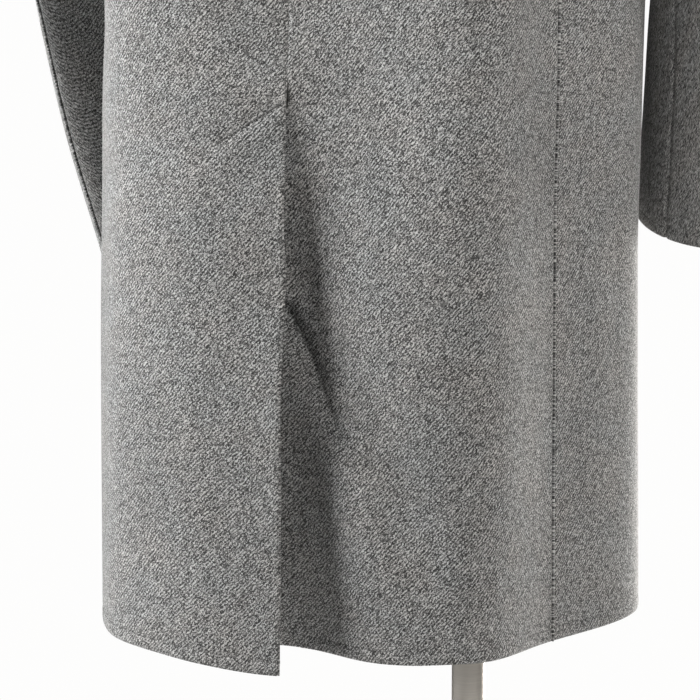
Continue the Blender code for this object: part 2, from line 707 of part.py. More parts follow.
def collar():
    stations = collar_stations()
    count = len(stations)
    profiles = [collar_profile(s, i / (count - 1)) for i, s in enumerate(stations)]
    left = np.array(profiles)
    middle = np.concatenate([mirrored(left[:0:-1], -1.0), left])
    along = np.gradient(middle, axis=1)
    around = np.gradient(middle, axis=0)
    out = unit(np.cross(around, along))
    centre = middle[:, 2:3] - np.array([0.0, 0.0, 0.02])
    facing = np.sum(out[:, 3] * (middle[:, 3] - centre[:, 0]))
    out = out * np.sign(facing)
    cloth_wall("collar", middle + out * 0.5 * CLOTH, middle - out * 0.5 * CLOTH, WOOL, coat_frame)


collar()


# Hip pocket flaps, laid on the fronts

def flap(side_name, side):
    panel = "front_" + side_name
    across = np.linspace(0.0, FLAP_WIDTH, 8)
    heights = np.linspace(FLAP_TOP_Z, FLAP_TOP_Z - FLAP_HEIGHT, 4)
    outer = []
    inner = []
    for row, z in enumerate(heights):
        slant = 0.006 * (across / FLAP_WIDTH - 0.5)
        lift = FLAP_SEAT * (1.0 + row)
        girths = side * (half_girth(z, side) - FLAP_FROM_FRONT - across)
        base = body_points(panel, girths, z)
        base[:, 2] -= slant
        out = body_normals(panel, girths, z)
        inner.append(base + out * lift)
        outer.append(base + out * (lift + CLOTH))
    cloth_wall("flap_" + side_name, np.array(outer), np.array(inner), WOOL, coat_frame)


flap("left", 1.0)
flap("right", -1.0)


# Front buttons, sewn on the left front at the centre line

def button(number):
    z = BREAK_Z - 0.012 - (number - 1) * BUTTON_PITCH
    girth = np.array([half_girth(z, 1.0)])
    seat = body_points("front_left", girth, z)[0]
    out = body_normals("front_left", girth, z)[0]
    shape = bmesh.new()
    bmesh.ops.create_cone(
        shape, cap_ends=True, segments=20, radius1=0.9 * BUTTON_RADIUS, radius2=BUTTON_RADIUS,
        depth=BUTTON_THICKNESS,
    )
    mesh = bpy.data.meshes.new("button_%d" % number)
    shape.to_mesh(mesh)
    shape.free()
    piece = finished("button_%d" % number, mesh, HORN, coat_frame)
    piece.location = seat + out * (0.5 * BUTTON_THICKNESS + 2.0 * SEAM_GAP)
    piece.rotation_mode = "XYZ"
    piece.rotation_euler = (0.5 * math.pi + math.asin(out[2]) * -1.0, 0.0, math.atan2(out[0], -out[1]))


for button_number in (1, 2, 3):
    button(button_number)


# Dress form: torso with closed shoulders and neck, and its stand

def torso():
    """Level rings from the underside to the neck's cap; the shoulder rings follow the coat's seam."""
    rows = [np.array(row) for row in TORSO_RINGS]
    drop = CLOTH + FORM_CLEARANCE
    for share in np.linspace(0.97, 0.17, SHOULDER_RINGS):
        seam = shoulder_point(share)[0]
        depth = np.interp(share, (0.0, 1.0), SHOULDER_HALF_DEPTH[::-1])
        rows.append(np.array([seam[2] - drop, seam[0] - 0.3 * drop, depth, 0.0]))
    rows += [np.array(row) for row in FORM_NECK]
    turn = np.linspace(0.0, 2.0 * math.pi, TORSO_SIDES, endpoint=False)
    shape = bmesh.new()
    rings = []
    for row in rows:
        at = dict(zip(TORSO_COLUMNS, row))
        x = at["half_width"] * np.sin(turn)
        y = at["centre_y"] + at["half_depth"] * np.cos(turn)
        rings.append([shape.verts.new((x[i], y[i], at["z"])) for i in range(TORSO_SIDES)])
    for low, high in zip(rings, rings[1:]):
        for i in range(TORSO_SIDES):
            k = (i + 1) % TORSO_SIDES
            shape.faces.new((low[i], low[k], high[k], high[i]))
    shape.faces.new(rings[0])
    shape.faces.new(rings[-1])
    bmesh.ops.recalc_face_normals(shape, faces=shape.faces)
    mesh = bpy.data.meshes.new("form_torso")
    shape.to_mesh(mesh)
    shape.free()
    finished("form_torso", mesh, JERSEY, coat_frame)


def turned(name, profile, made_of):
    """Piece turned about the pole's axis from a half profile, top to bottom on its outer side."""
    mesh = bpy.data.meshes.new(name)
    edges = [(i, (i + 1) % len(profile)) for i in range(len(profile))]
    if profile[0][0] == 0.0:
        edges.pop()
    mesh.from_pydata([(r, 0.0, z) for r, z in profile], edges, [])
    piece = finished(name, mesh, made_of, None)
    screw = piece.modifiers.new("turn", "SCREW")
    screw.steps = 40
    screw.render_steps = 40
    screw.use_merge_vertices = True
    screw.merge_threshold = 0.0001
    return piece


torso()
bore = POLE_RADIUS + SEAM_GAP
flange_top = TORSO_BOTTOM - SEAM_GAP
turned("form_flange", [
    (bore, flange_top),
    (FLANGE_RADIUS, flange_top),
    (FLANGE_RADIUS, flange_top - FLANGE_THICKNESS),
    (FLANGE_SLEEVE_RADIUS, flange_top - FLANGE_THICKNESS - 0.004),
    (FLANGE_SLEEVE_RADIUS, flange_top - FLANGE_DROP),
    (bore, flange_top - FLANGE_DROP),
], STEEL)
turned("form_pole", [
    (0.0, flange_top),
    (POLE_RADIUS, flange_top),
    (POLE_RADIUS, SOCKET_DEPTH_Z + SEAM_GAP),
    (0.0, SOCKET_DEPTH_Z + SEAM_GAP),
], STEEL)
turned("form_base", [
    (0.0, SOCKET_DEPTH_Z),
    (bore, SOCKET_DEPTH_Z),
    (bore, BOSS_TOP),
    (BOSS_RADIUS - 0.002, BOSS_TOP),
    (BOSS_RADIUS, BOSS_TOP - 0.002),
    (BOSS_RADIUS, BASE_THICKNESS + 0.006),
    (BOSS_RADIUS + 0.008, BASE_THICKNESS + 0.001),
    (BASE_RADIUS - 0.004, BASE_THICKNESS - 0.003),
    (BASE_RADIUS, BASE_THICKNESS - 0.006),
    (BASE_RADIUS, 0.0),
    (0.0, 0.0),
], STEEL)
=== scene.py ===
# Grey twill chesterfield coat on a limbless dress form, seen from behind. Metres, +Z up, coat front to -Y.
import math

import bpy
import numpy as np
from mathutils import Matrix


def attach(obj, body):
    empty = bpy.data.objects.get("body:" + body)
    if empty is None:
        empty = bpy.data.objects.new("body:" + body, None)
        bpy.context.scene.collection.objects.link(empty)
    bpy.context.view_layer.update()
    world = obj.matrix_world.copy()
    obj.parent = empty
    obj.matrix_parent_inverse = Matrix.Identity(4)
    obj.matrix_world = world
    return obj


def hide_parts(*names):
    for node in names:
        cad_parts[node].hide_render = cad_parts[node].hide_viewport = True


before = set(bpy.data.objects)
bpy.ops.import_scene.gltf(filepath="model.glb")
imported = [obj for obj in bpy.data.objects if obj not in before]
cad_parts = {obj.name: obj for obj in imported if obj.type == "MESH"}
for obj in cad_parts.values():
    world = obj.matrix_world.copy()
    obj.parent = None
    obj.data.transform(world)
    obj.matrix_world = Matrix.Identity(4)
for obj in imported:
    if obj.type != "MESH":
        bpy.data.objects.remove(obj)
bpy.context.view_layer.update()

print("frame loaded:", len(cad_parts), "nodes")


# Small helpers: eased step, bell, unit vectors, a smooth curve through table rows

def eased(value):
    value = np.clip(value, 0.0, 1.0)
    return value * value * (3.0 - 2.0 * value)


def unit(vectors):
    return vectors / np.maximum(np.linalg.norm(vectors, axis=-1, keepdims=True), 1e-12)


def bell(distance, width):
    return np.exp(-(distance / width) ** 2)


def fullTurn(count):
    return np.linspace(0.0, 2.0 * math.pi, count, endpoint=False)


def numberAt(values, place):
    # fractional number of a place in a rising list
    return np.interp(place, values, np.arange(len(values)))


def levelled(points):
    # points without their height: the way out from the coat's axis
    return points * np.array([1.0, 1.0, 0.0])


def sideOf(panel):
    return 1.0 if panel.endswith("left") else -1.0


def curveThrough(knots, values, at):
    # cubic through the rows, its slope at a knot is the weighted mean of the slopes beside it
    knots = np.asarray(knots, float)
    values = np.asarray(values, float)
    steps = np.diff(knots)
    slopes = np.diff(values, axis=0) / steps[:, None]
    weights = (steps[:-1] + steps[1:])[:, None]
    inner = (slopes[:-1] * steps[1:, None] + slopes[1:] * steps[:-1, None]) / weights
    slopes = np.vstack([slopes[:1], inner, slopes[-1:]])
    at = np.clip(np.atleast_1d(at), knots[0], knots[-1])
    i = np.clip(np.searchsorted(knots, at, side="right") - 1, 0, len(steps) - 1)
    t = ((at - knots[i]) / steps[i])[:, None]
    rise = 3.0 * t ** 2 - 2.0 * t ** 3
    lead = (t - 2.0 * t ** 2 + t ** 3) * steps[i][:, None]
    trail = (t ** 3 - t ** 2) * steps[i][:, None]
    return values[i] * (1.0 - rise) + values[i + 1] * rise + slopes[i] * lead + slopes[i + 1] * trail


def evenSteps(start, stop, step):
    return np.linspace(start, stop, max(int(round((stop - start) / step)), 2) + 1)


def edgeSpread(length, step, closeReach=0.0, closeStep=0.002):
    # positions along a length: an even step, closer towards both edges and over a stretch from the start
    fine = np.array([0.0, 0.0006, 0.0013, 0.0021, 0.0031, 0.0044, 0.0060, 0.0080, 0.0105])
    high = length - fine[::-1]
    if closeReach == 0.0:
        return np.concatenate([fine[:-1], evenSteps(fine[-1], high[0], step), high[1:]])
    close = evenSteps(fine[-1], closeReach, closeStep)
    return np.concatenate([fine[:-1], close[:-1], evenSteps(closeReach, high[0], step), high[1:]])


def gridNormals(points, outward):
    # cross product of the grid's two directions, turned as a whole to the side of the outward vectors
    normals = unit(np.cross(np.gradient(points, axis=0), np.gradient(points, axis=1)))
    facing = np.nansum(normals * outward)
    return normals * (1.0 if facing >= 0.0 else -1.0)


def sampledAt(grid, rows, columns):
    # points between those of a grid, at fractional rows and columns
    rows = np.clip(rows, 0.0, grid.shape[0] - 1.001)
    columns = np.clip(columns, 0.0, grid.shape[1] - 1.001)
    i = np.floor(rows).astype(int)
    j = np.floor(columns).astype(int)
    a = (rows - i)[..., None]
    b = (columns - j)[..., None]
    low = grid[i, j] * (1.0 - b) + grid[i, j + 1] * b
    high = grid[i + 1, j] * (1.0 - b) + grid[i + 1, j + 1] * b
    return low * (1.0 - a) + high * a


def arcAlong(points, axis):
    # length walked along rows (axis 0) or columns (axis 1) of a grid
    steps = np.linalg.norm(np.diff(points, axis=axis), axis=-1)
    start = np.zeros_like(np.take(steps, [0], axis=axis))
    return np.concatenate([start, np.cumsum(steps, axis=axis)], axis=axis)


# Mesh from arrays

def meshPiece(name, vertices, faces, uv, material):
    mesh = bpy.data.meshes.new(name)
    corners = faces.shape[1]
    mesh.vertices.add(len(vertices))
    mesh.vertices.foreach_set("co", np.ascontiguousarray(vertices, np.float32).ravel())
    mesh.loops.add(faces.size)
    mesh.loops.foreach_set("vertex_index", np.ascontiguousarray(faces, np.int32).ravel())
    mesh.polygons.add(len(faces))
    mesh.polygons.foreach_set("loop_start", np.arange(0, faces.size, corners, dtype=np.int32))
    mesh.update(calc_edges=True)
    layer = mesh.uv_layers.new(name="cloth")
    layer.data.foreach_set("uv", np.ascontiguousarray(uv[faces.ravel()], np.float32).ravel())
    mesh.validate()
    mesh.shade_smooth()
    mesh.materials.append(material)
    piece = bpy.data.objects.new(name, mesh)
    bpy.context.scene.collection.objects.link(piece)
    return piece


def quadsOf(rows, columns, closed=False):
    # corner numbers of the cells of a grid, wrapped where its rows close on themselves
    j = np.arange(columns if closed else columns - 1)
    i, j = np.meshgrid(np.arange(rows - 1) * columns, j, indexing="ij")
    k = i + columns
    m = (j + 1) % columns
    return np.stack([i + j, i + m, k + m, k + j], axis=-1).reshape(-1, 4)


def shellPiece(name, outer, normals, uv, material, thickness, bulge=0.35):
    # a wall: outer grid, the same grid moved in along its normals, and a rounded rim round the border;
    # cells with a missing (nan) corner are left out
    rows, columns = outer.shape[:2]
    there = ~np.isnan(outer[..., 0]).ravel()
    inner = outer - normals * np.broadcast_to(np.asarray(thickness), (rows, columns))[..., None]
    cells = quadsOf(rows, columns)
    cells = cells[there[cells].all(axis=1)]
    flat = outer.reshape(-1, 3)
    turn = np.cross(flat[cells[:, 1]] - flat[cells[:, 0]], flat[cells[:, 3]] - flat[cells[:, 0]])
    if np.sum(turn * normals.reshape(-1, 3)[cells[:, 0]]) < 0.0:
        cells = cells[:, ::-1]
    used = np.unique(cells)
    renumber = np.full(rows * columns, -1)
    renumber[used] = np.arange(len(used))
    cells = renumber[cells]
    count = len(used)
    outerPoints = flat[used]
    innerPoints = inner.reshape(-1, 3)[used]
    outNormals = normals.reshape(-1, 3)[used]
    edges = np.concatenate([cells[:, [k, (k + 1) % 4]] for k in range(4)])
    keys = edges[:, 0] * count + edges[:, 1]
    back = edges[:, 1] * count + edges[:, 0]
    border = edges[~np.isin(keys, back)]
    away = np.zeros_like(outerPoints)
    push = unit(np.cross(outerPoints[border[:, 1]] - outerPoints[border[:, 0]], outNormals[border[:, 0]]))
    np.add.at(away, border[:, 0], push)
    np.add.at(away, border[:, 1], push)
    rim = np.unique(border)
    rimNumber = np.full(count, -1)
    rimNumber[rim] = 2 * count + np.arange(len(rim))
    depth = np.linalg.norm(outerPoints - innerPoints, axis=1, keepdims=True)
    middle = 0.5 * (outerPoints + innerPoints) + bulge * depth * unit(away)
    a = border[:, 0]
    b = border[:, 1]
    faces = np.concatenate([
        cells,
        cells[:, ::-1] + count,
        np.stack([b, a, rimNumber[a], rimNumber[b]], axis=1),
        np.stack([rimNumber[b], rimNumber[a], a + count, b + count], axis=1),
    ])
    flatUv = uv.reshape(-1, 2)[used]
    vertices = np.concatenate([outerPoints, innerPoints, middle[rim]])
    return meshPiece(name, vertices, faces, np.concatenate([flatUv, flatUv, flatUv[rim]]), material)


def settle(piece, node=None):
    # every piece rides on the one body, and hides the node that it stands for
    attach(piece, "root")
    if node:
        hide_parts(node)
    return piece


def standAt(name, data, place, look, right):
    # a camera or lamp at a place, looking along look with right to its right
    thing = bpy.data.objects.new(name, data)
    matrix = np.eye(4)
    matrix[:3, :3] = np.stack([right, np.cross(right, look), -look], axis=1)
    matrix[:3, 3] = place
    thing.matrix_world = Matrix(matrix.tolist())
    bpy.context.scene.collection.objects.link(thing)
    return thing


# Node helpers for the materials

def nodeTree(name):
    material = bpy.data.materials.new(name)
    material.use_nodes = True
    tree = material.node_tree
    return material, tree, tree.nodes["Principled BSDF"]


def put(socket, value):
    # a value set on a socket, or another node's output linked to it
    if isinstance(value, bpy.types.NodeSocket):
        socket.id_data.links.new(value, socket)
    else:
        socket.default_value = value


def putAll(sockets, values):
    for socket, value in zip(sockets, values):
        put(socket, value)


def newNode(source, kind, operation=None):
    # a node in the tree that the source belongs to
    node = source.id_data.nodes.new("ShaderNode" + kind)
    if operation:
        node.operation = operation
    return node


def maths(operation, first, second=0.0, third=0.0):
    node = newNode(first, "Math", operation)
    putAll(node.inputs, (first, second, third))
    return node.outputs[0]


def ramp(value, stops):
    node = newNode(value, "ValToRGB")
    while len(node.color_ramp.elements) < len(stops):
        node.color_ramp.elements.new(0.5)
    for element, (place, colour) in zip(node.color_ramp.elements, stops):
        element.position = place
        element.color = (*colour, 1.0)
    put(node.inputs[0], value)
    return node.outputs[0]


def mapped(value, low, high, start=0.0, end=1.0):
    node = newNode(value, "MapRange")
    putAll(node.inputs, (value, start, end, low, high))
    return node.outputs[0]


def noise(vector, scale, detail=2.0, roughness=0.5, distortion=0.0):
    node = newNode(vector, "TexNoise")
    sockets = [node.inputs[name] for name in ("Vector", "Scale", "Detail", "Roughness", "Distortion")]
    putAll(sockets, (vector, scale, detail, roughness, distortion))
    return node.outputs[0]


def vectorOf(x, y, z=0.0):
    node = newNode(x, "CombineXYZ")
    putAll(node.inputs, (x, y, z))
    return node.outputs[0]


def partsOf(vector):
    node = newNode(vector, "SeparateXYZ")
    put(node.inputs[0], vector)
    return list(node.outputs)


def cellNoise(x, y=None):
    # one random value for each number, or for each pair of numbers
    node = newNode(x, "TexWhiteNoise")
    node.noise_dimensions = "1D" if y is None else "2D"
    if y is None:
        put(node.inputs["W"], x)
    else:
        put(node.inputs["Vector"], vectorOf(x, y))
    return node.outputs[0]


def product(operation, socketName, first, second):
    node = newNode(first, "VectorMath", operation)
    put(node.inputs[0], first)
    put(node.inputs[socketName], second)
    return node.outputs[0]


def tinted(colour, factor):
    # colour times a grey factor
    return product("SCALE", "Scale", colour, factor)


def addBump(shader, height, strength, distance):
    node = newNode(height, "Bump")
    put(node.inputs["Strength"], strength)
    put(node.inputs["Distance"], distance)
    put(node.inputs["Height"], height)
    put(shader.inputs["Normal"], node.outputs[0])


def objectPlace(tree):
    return tree.nodes.new("ShaderNodeTexCoord").outputs["Object"]


# Wool twill: wales rise to the right, each a row of short light and dark floats under a milled nap
wool = {
    "waleAcross": 0.0030,
    "waleUp": 0.00326,
    "waleWander": 1.5,
    "floatsPerWale": 1.75,
    "flecksInWale": 4.5,
    "flecksInFloat": 2.6,
    # shade, then colour of the yarn
    "yarns": [(0.15, (0.028, 0.028, 0.028)), (0.50, (0.165, 0.165, 0.161)), (0.85, (0.52, 0.52, 0.51))],
    "casts": [(0.35, (0.988, 1.0, 1.010)), (0.65, (1.016, 0.997, 0.988))],
    # how much each adds to the shade
    "crestShade": 0.34,
    "floatShade": 0.10,
    "fleckShade": 0.86,
    "fibreShade": 1.30,
    "cloudShade": 0.2,
    "shadeShift": -0.225,
    "patches": (0.86, 1.14),
    "sheen": 0.25,
    "bump": 0.08,
    "bumpDepth": 0.0005,
}


def woolTwill():
    # wale counts the diagonal rows, along counts the floats in a row, staggered from row to row
    material, tree, shader = nodeTree("greyWoolTwill")
    clothMap = tree.nodes.new("ShaderNodeUVMap")
    clothMap.uv_map = "cloth"
    place = clothMap.outputs[0]
    u, v, _ = partsOf(place)
    fibre = noise(place, 1500.0, 3.0, 0.65)
    cloud = noise(place, 380.0, 2.0, 0.6)
    patch = noise(place, 11.0, 3.0, 0.55)
    hue = noise(place, 23.0, 2.0, 0.6)
    wander = maths("SUBTRACT", noise(place, 160.0, 3.0, 0.6), 0.5)
    across = maths("DIVIDE", u, wool["waleAcross"])
    upward = maths("DIVIDE", v, wool["waleUp"])
    wale = maths("MULTIPLY_ADD", wander, wool["waleWander"], maths("SUBTRACT", across, upward))
    row = maths("FLOOR", wale)
    along = maths("MULTIPLY", maths("ADD", across, upward), 0.5 * wool["floatsPerWale"])
    along = maths("MULTIPLY_ADD", cellNoise(row), 3.0, along)
    floatTone = cellNoise(row, maths("FLOOR", along))
    fleck = cellNoise(
        maths("FLOOR", maths("MULTIPLY", wale, wool["flecksInWale"])),
        maths("FLOOR", maths("MULTIPLY", along, wool["flecksInFloat"])))
    crest = maths("COSINE", maths("MULTIPLY", wale, 2.0 * math.pi))
    crest = maths("MULTIPLY_ADD", crest, -0.5, 0.5)
    floatCrest = maths("SINE", maths("MULTIPLY", maths("FRACT", along), math.pi))
    height = maths("MULTIPLY", crest, maths("POWER", floatCrest, 0.5))
    shade = maths("MULTIPLY_ADD", crest, wool["crestShade"], wool["shadeShift"])
    shade = maths("MULTIPLY_ADD", floatTone, wool["floatShade"], shade)
    shade = maths("MULTIPLY_ADD", fleck, wool["fleckShade"], shade)
    shade = maths("MULTIPLY_ADD", maths("SUBTRACT", fibre, 0.5), wool["fibreShade"], shade)
    shade = maths("MULTIPLY_ADD", maths("SUBTRACT", cloud, 0.5), wool["cloudShade"], shade)
    colour = tinted(ramp(shade, wool["yarns"]), mapped(patch, *wool["patches"]))
    put(shader.inputs["Base Color"], product("MULTIPLY", 1, colour, ramp(hue, wool["casts"])))
    put(shader.inputs["Roughness"], mapped(fibre, 0.82, 0.98))
    addBump(shader, maths("MULTIPLY_ADD", fibre, 0.5, height), wool["bump"], wool["bumpDepth"])
    shader.inputs["Specular IOR Level"].default_value = 0.18
    shader.inputs["Sheen Weight"].default_value = wool["sheen"]
    shader.inputs["Sheen Roughness"].default_value = 0.45
    shader.inputs["Sheen Tint"].default_value = (0.95, 0.95, 0.94, 1.0)
    return material


def sewingThread():
    # dark grey thread with a fine twist; the same thread also lies along the side seams as painted shade
    material, tree, shader = nodeTree("greySewingThread")
    twist = noise(objectPlace(tree), 2600.0)
    stops = [(0.3, (0.035, 0.035, 0.034)), (0.7, (0.11, 0.11, 0.108))]
    put(shader.inputs["Base Color"], ramp(twist, stops))
    put(shader.inputs["Roughness"], mapped(twist, 0.5, 0.75))
    return material


def darkHorn():
    # brown-black horn with pale veins
    material, tree, shader = nodeTree("darkHorn")
    vein = noise(objectPlace(tree), 160.0, 4.0, 0.6, 1.4)
    stops = [(0.35, (0.012, 0.010, 0.009)), (0.6, (0.035, 0.027, 0.021)), (0.78, (0.11, 0.085, 0.06))]
    put(shader.inputs["Base Color"], ramp(vein, stops))
    put(shader.inputs["Roughness"], mapped(vein, 0.24, 0.42))
    return material


def formCover():
    # pale stretched cover, a fine knit with faint slubs
    material, tree, shader = nodeTree("paleFormCover")
    place = objectPlace(tree)
    rib = maths("SINE", maths("MULTIPLY", partsOf(place)[2], 2.0 * math.pi / 0.0011))
    slub = noise(place, 240.0, 3.0, 0.6)
    stops = [(0.3, (0.56, 0.52, 0.46)), (0.7, (0.72, 0.69, 0.63))]
    put(shader.inputs["Base Color"], tinted(ramp(slub, stops), mapped(noise(place, 9.0), 0.93, 1.05)))
    addBump(shader, maths("MULTIPLY_ADD", rib, 0.3, slub), 0.35, 0.0003)
    shader.inputs["Roughness"].default_value = 0.9
    shader.inputs["Sheen Weight"].default_value = 0.2
    return material


def satinSteel(tint):
    # steel brushed round its axis: fine streaks in colour and gloss
    material, tree, shader = nodeTree("warmSatinSteel")
    place = objectPlace(tree)
    stretches = (30.0, 30.0, 2600.0)
    drawn = [maths("MULTIPLY", part, by) for part, by in zip(partsOf(place), stretches)]
    streak = noise(vectorOf(*drawn), 1.0, 3.0, 0.6)
    stops = [(0.25, tuple(0.82 * c for c in tint)), (0.75, tint)]
    colour = tinted(ramp(streak, stops), mapped(noise(place, 25.0, 3.0), 0.95, 1.04))
    put(shader.inputs["Base Color"], colour)
    put(shader.inputs["Roughness"], mapped(streak, 0.26, 0.42))
    shader.inputs["Metallic"].default_value = 1.0
    addBump(shader, streak, 0.12, 0.0001)
    return material


twill = woolTwill()
thread = sewingThread()
horn = darkHorn()
cover = formCover()
steel = satinSteel((0.80, 0.755, 0.69))
print("materials made")


# The coat's body: sections round the form, largest folds, finer creases and the hem's line
body = {
    "offset": np.array([0.071, 0.030, 0.0]),
    "cloth": 0.0024,
    "seamGap": 0.0003,
    "lapGap": 0.0016,
    "hemZ": 0.512,
    "chestZ": 1.19,
    "neckZ": 1.450,
    "neckPointZ": 1.453,
    "neckHalf": 0.078,
    "neckBackY": 0.062,
    "ventLength": 0.393,
    "ventUnderlap": 0.046,
    "ventSlant": 0.026,
    "ventFlare": 0.016,
    "ventSink": 0.023,
    "sinkWidth": 0.060,
    "ventRecess": 0.0110,
    "recessWidth": 0.056,
    "ventCornerDrop": 0.006,
    "hemReach": 0.22,
    "seamShare": 0.388,
    "breakZ": 1.08,
    "frontLap": 0.022,
    "rowStep": 0.0042,
    "columnStep": 0.0042,
    "closeReach": {"back_right": 0.15, "back_left": 0.06},
    "closeStep": 0.0020,
    "closeTop": {"back_right": 0.80, "back_left": 0.80},
    "yokeRows": 56,
    "ventEdgeShift": 0.0034,
    "seamSink": 0.0020,
    "seamWidth": 0.0015,
    "seamOpen": 0.00085,
    "hemStitch": 0.0095,
    "hemGroove": 0.0005,
    "hemSwell": 0.0002,
    "ventStitchSlope": 0.62,
    "ventStitchEnd": 0.047,
    "ventGroove": 0.0018,
    "ventRidge": 0.0011,
}
ventTop = body["hemZ"] + body["ventLength"]

# z, then the stations' places: back, blade, back corner, side, widest, front corner, centre front
sectionColumns = ["backY", "bladeX", "bladeY", "cornerX", "cornerY", "sideX", "sideY",
                  "wideX", "wideY", "frontX", "frontY", "centreY"]
rightSections = [
    (0.50, 0.178, 0.074, 0.178, 0.132, 0.167, 0.166, 0.072, 0.202, -0.045, 0.150, -0.132, -0.165),
    (0.70, 0.178, 0.074, 0.178, 0.133, 0.167, 0.166, 0.072, 0.199, -0.044, 0.148, -0.129, -0.161),
    (0.90, 0.174, 0.074, 0.177, 0.134, 0.166, 0.167, 0.075, 0.198, -0.040, 0.147, -0.123, -0.154),
    (1.03, 0.165, 0.075, 0.170, 0.134, 0.155, 0.173, 0.074, 0.201, -0.030, 0.152, -0.115, -0.146),
    (1.19, 0.150, 0.080, 0.153, 0.140, 0.128, 0.180, 0.072, 0.199, -0.002, 0.152, -0.108, -0.136),
]
leftSections = [
    (0.50, 0.178, 0.074, 0.177, 0.138, 0.153, 0.186, 0.085, 0.205, -0.025, 0.150, -0.132, -0.165),
    (0.70, 0.178, 0.073, 0.177, 0.136, 0.153, 0.184, 0.085, 0.202, -0.025, 0.148, -0.129, -0.161),
    (0.90, 0.174, 0.071, 0.176, 0.131, 0.154, 0.179, 0.087, 0.198, -0.022, 0.147, -0.123, -0.154),
    (1.03, 0.165, 0.074, 0.170, 0.134, 0.153, 0.180, 0.085, 0.200, -0.016, 0.152, -0.115, -0.146),
    (1.19, 0.150, 0.080, 0.153, 0.140, 0.128, 0.181, 0.072, 0.199, -0.002, 0.152, -0.108, -0.136),
]

# broad folds: girth and height of both ends, half width, depth (a trough is negative)
broadFolds = [
    (-0.048, 1.08, -0.054, 0.93, 0.060, -0.013),
    (-0.005, 0.775, -0.085, 0.635, 0.024, -0.006),
    (-0.095, 0.600, -0.130, 0.500, 0.024, -0.005),
    (-0.020, 0.690, -0.055, 0.600, 0.026, 0.005),
    (0.330, 0.760, 0.360, 0.500, 0.045, -0.006),
    (-0.410, 0.780, -0.440, 0.500, 0.045, -0.006),
    (-0.235, 1.130, -0.215, 0.980, 0.035, -0.006),
    (0.235, 1.130, 0.215, 0.980, 0.035, -0.006),
]

# creases: girth and height of start, middle and end, width of the groove, depth, height of the soft roll
# on its left, seen from outside and going down, width of that roll, and the groove's reach on that side
creases = [
    (0.0105, 0.768, -0.0205, 0.708, -0.0680, 0.604, 0.0050, -0.0085, 0.0000, 0.0110, 0.0300),
    (-0.056, 0.668, -0.072, 0.640, -0.092, 0.600, 0.0070, -0.0014, 0.0022, 0.016, 0.0070),
    (-0.092, 0.583, -0.111, 0.552, -0.131, 0.519, 0.0090, -0.0016, 0.0018, 0.016, 0.0090),
    (-0.068, 0.730, -0.104, 0.750, -0.142, 0.766, 0.0035, -0.0004, 0.0003, 0.010, 0.0035),
    (-0.142, 0.766, -0.172, 0.754, -0.200, 0.737, 0.0035, -0.0004, 0.0003, 0.010, 0.0035),
    (-0.124, 0.735, -0.129, 0.670, -0.137, 0.606, 0.0160, -0.0016, 0.0006, 0.020, 0.0160),
    (0.170, 0.880, 0.185, 0.760, 0.180, 0.620, 0.0180, -0.0014, 0.0008, 0.022, 0.0180),
    (0.075, 0.960, 0.088, 0.860, 0.080, 0.760, 0.0220, -0.0010, 0.0006, 0.022, 0.0220),
    (-0.300, 0.860, -0.312, 0.740, -0.305, 0.600, 0.0160, -0.0016, 0.0010, 0.020, 0.0160),
    (0.300, 0.930, 0.318, 0.800, 0.310, 0.640, 0.0160, -0.0016, 0.0010, 0.020, 0.0160),
    (0.410, 0.870, 0.425, 0.760, 0.415, 0.600, 0.0150, -0.0018, 0.0012, 0.018, 0.0150),
    (-0.490, 0.830, -0.505, 0.710, -0.495, 0.560, 0.0150, -0.0018, 0.0012, 0.018, 0.0150),
    (0.520, 1.050, 0.470, 1.000, 0.400, 0.990, 0.0080, -0.0012, 0.0010, 0.012, 0.0080),
    (-0.530, 1.050, -0.480, 1.005, -0.410, 0.985, 0.0080, -0.0012, 0.0010, 0.012, 0.0080),
]

hemLift = [
    (-0.62, 0.000), (-0.40, -0.002), (-0.25, -0.001), (-0.14, 0.005), (-0.06, 0.001),
    (0.00, -0.002), (0.10, -0.005), (0.22, -0.009), (0.34, -0.006), (0.62, 0.000),
]


def stationsAt(table, z, side):
    # one side's stations at a height, from a smooth curve through the table's rows
    table = np.asarray(table)
    row = dict(zip(sectionColumns, curveThrough(table[:, 0], table[:, 1:], z)[0]))
    places = [(side * row[k + "X"], row[k + "Y"]) for k in ("blade", "corner", "side", "wide", "front")]
    return np.array([(0.0, row["backY"]), *places, (0.0, row["centreY"])])


def sectionRing(z):
    # closed section: girth from the centre back, its points, and the girths of the centre front both ways
    loop = np.vstack([stationsAt(rightSections, z, -1.0)[::-1], stationsAt(leftSections, z, 1.0)[1:]])
    wrapped = np.vstack([loop[-4:-1], loop, loop[1:4]])
    knots = arcAlong(wrapped, 0)
    walk = np.linspace(knots[1], knots[-2], 700)
    points = curveThrough(knots, wrapped, walk)
    girth = arcAlong(points, 0)
    backAt = np.interp(knots[9], walk, girth)
    return girth - backAt, points, np.interp(knots[[3, -4]], walk, girth) - backAt


ringStore = {}


def ringAt(z):
    key = round(float(z), 6)
    if key not in ringStore:
        ringStore[key] = sectionRing(key)
    return ringStore[key]


def halfGirth(z, side):
    return abs(ringAt(z)[2][1 if side > 0 else 0])


def foldHeight(girth, z):
    # sum of broad troughs and ridges, each a bell across its line, faded past both ends
    total = np.zeros_like(girth)
    for g0, z0, g1, z1, half, depth in broadFolds:
        run = np.array([g1 - g0, z1 - z0])
        length = np.linalg.norm(run)
        run = run / length
        along = (girth - g0) * run[0] + (z - z0) * run[1]
        across = (girth - g0) * run[1] - (z - z0) * run[0]
        past = np.maximum(np.maximum(-along, along - length), 0.0)
        total = total + depth * bell(across, half) * bell(past, 1.5 * half)
    return total


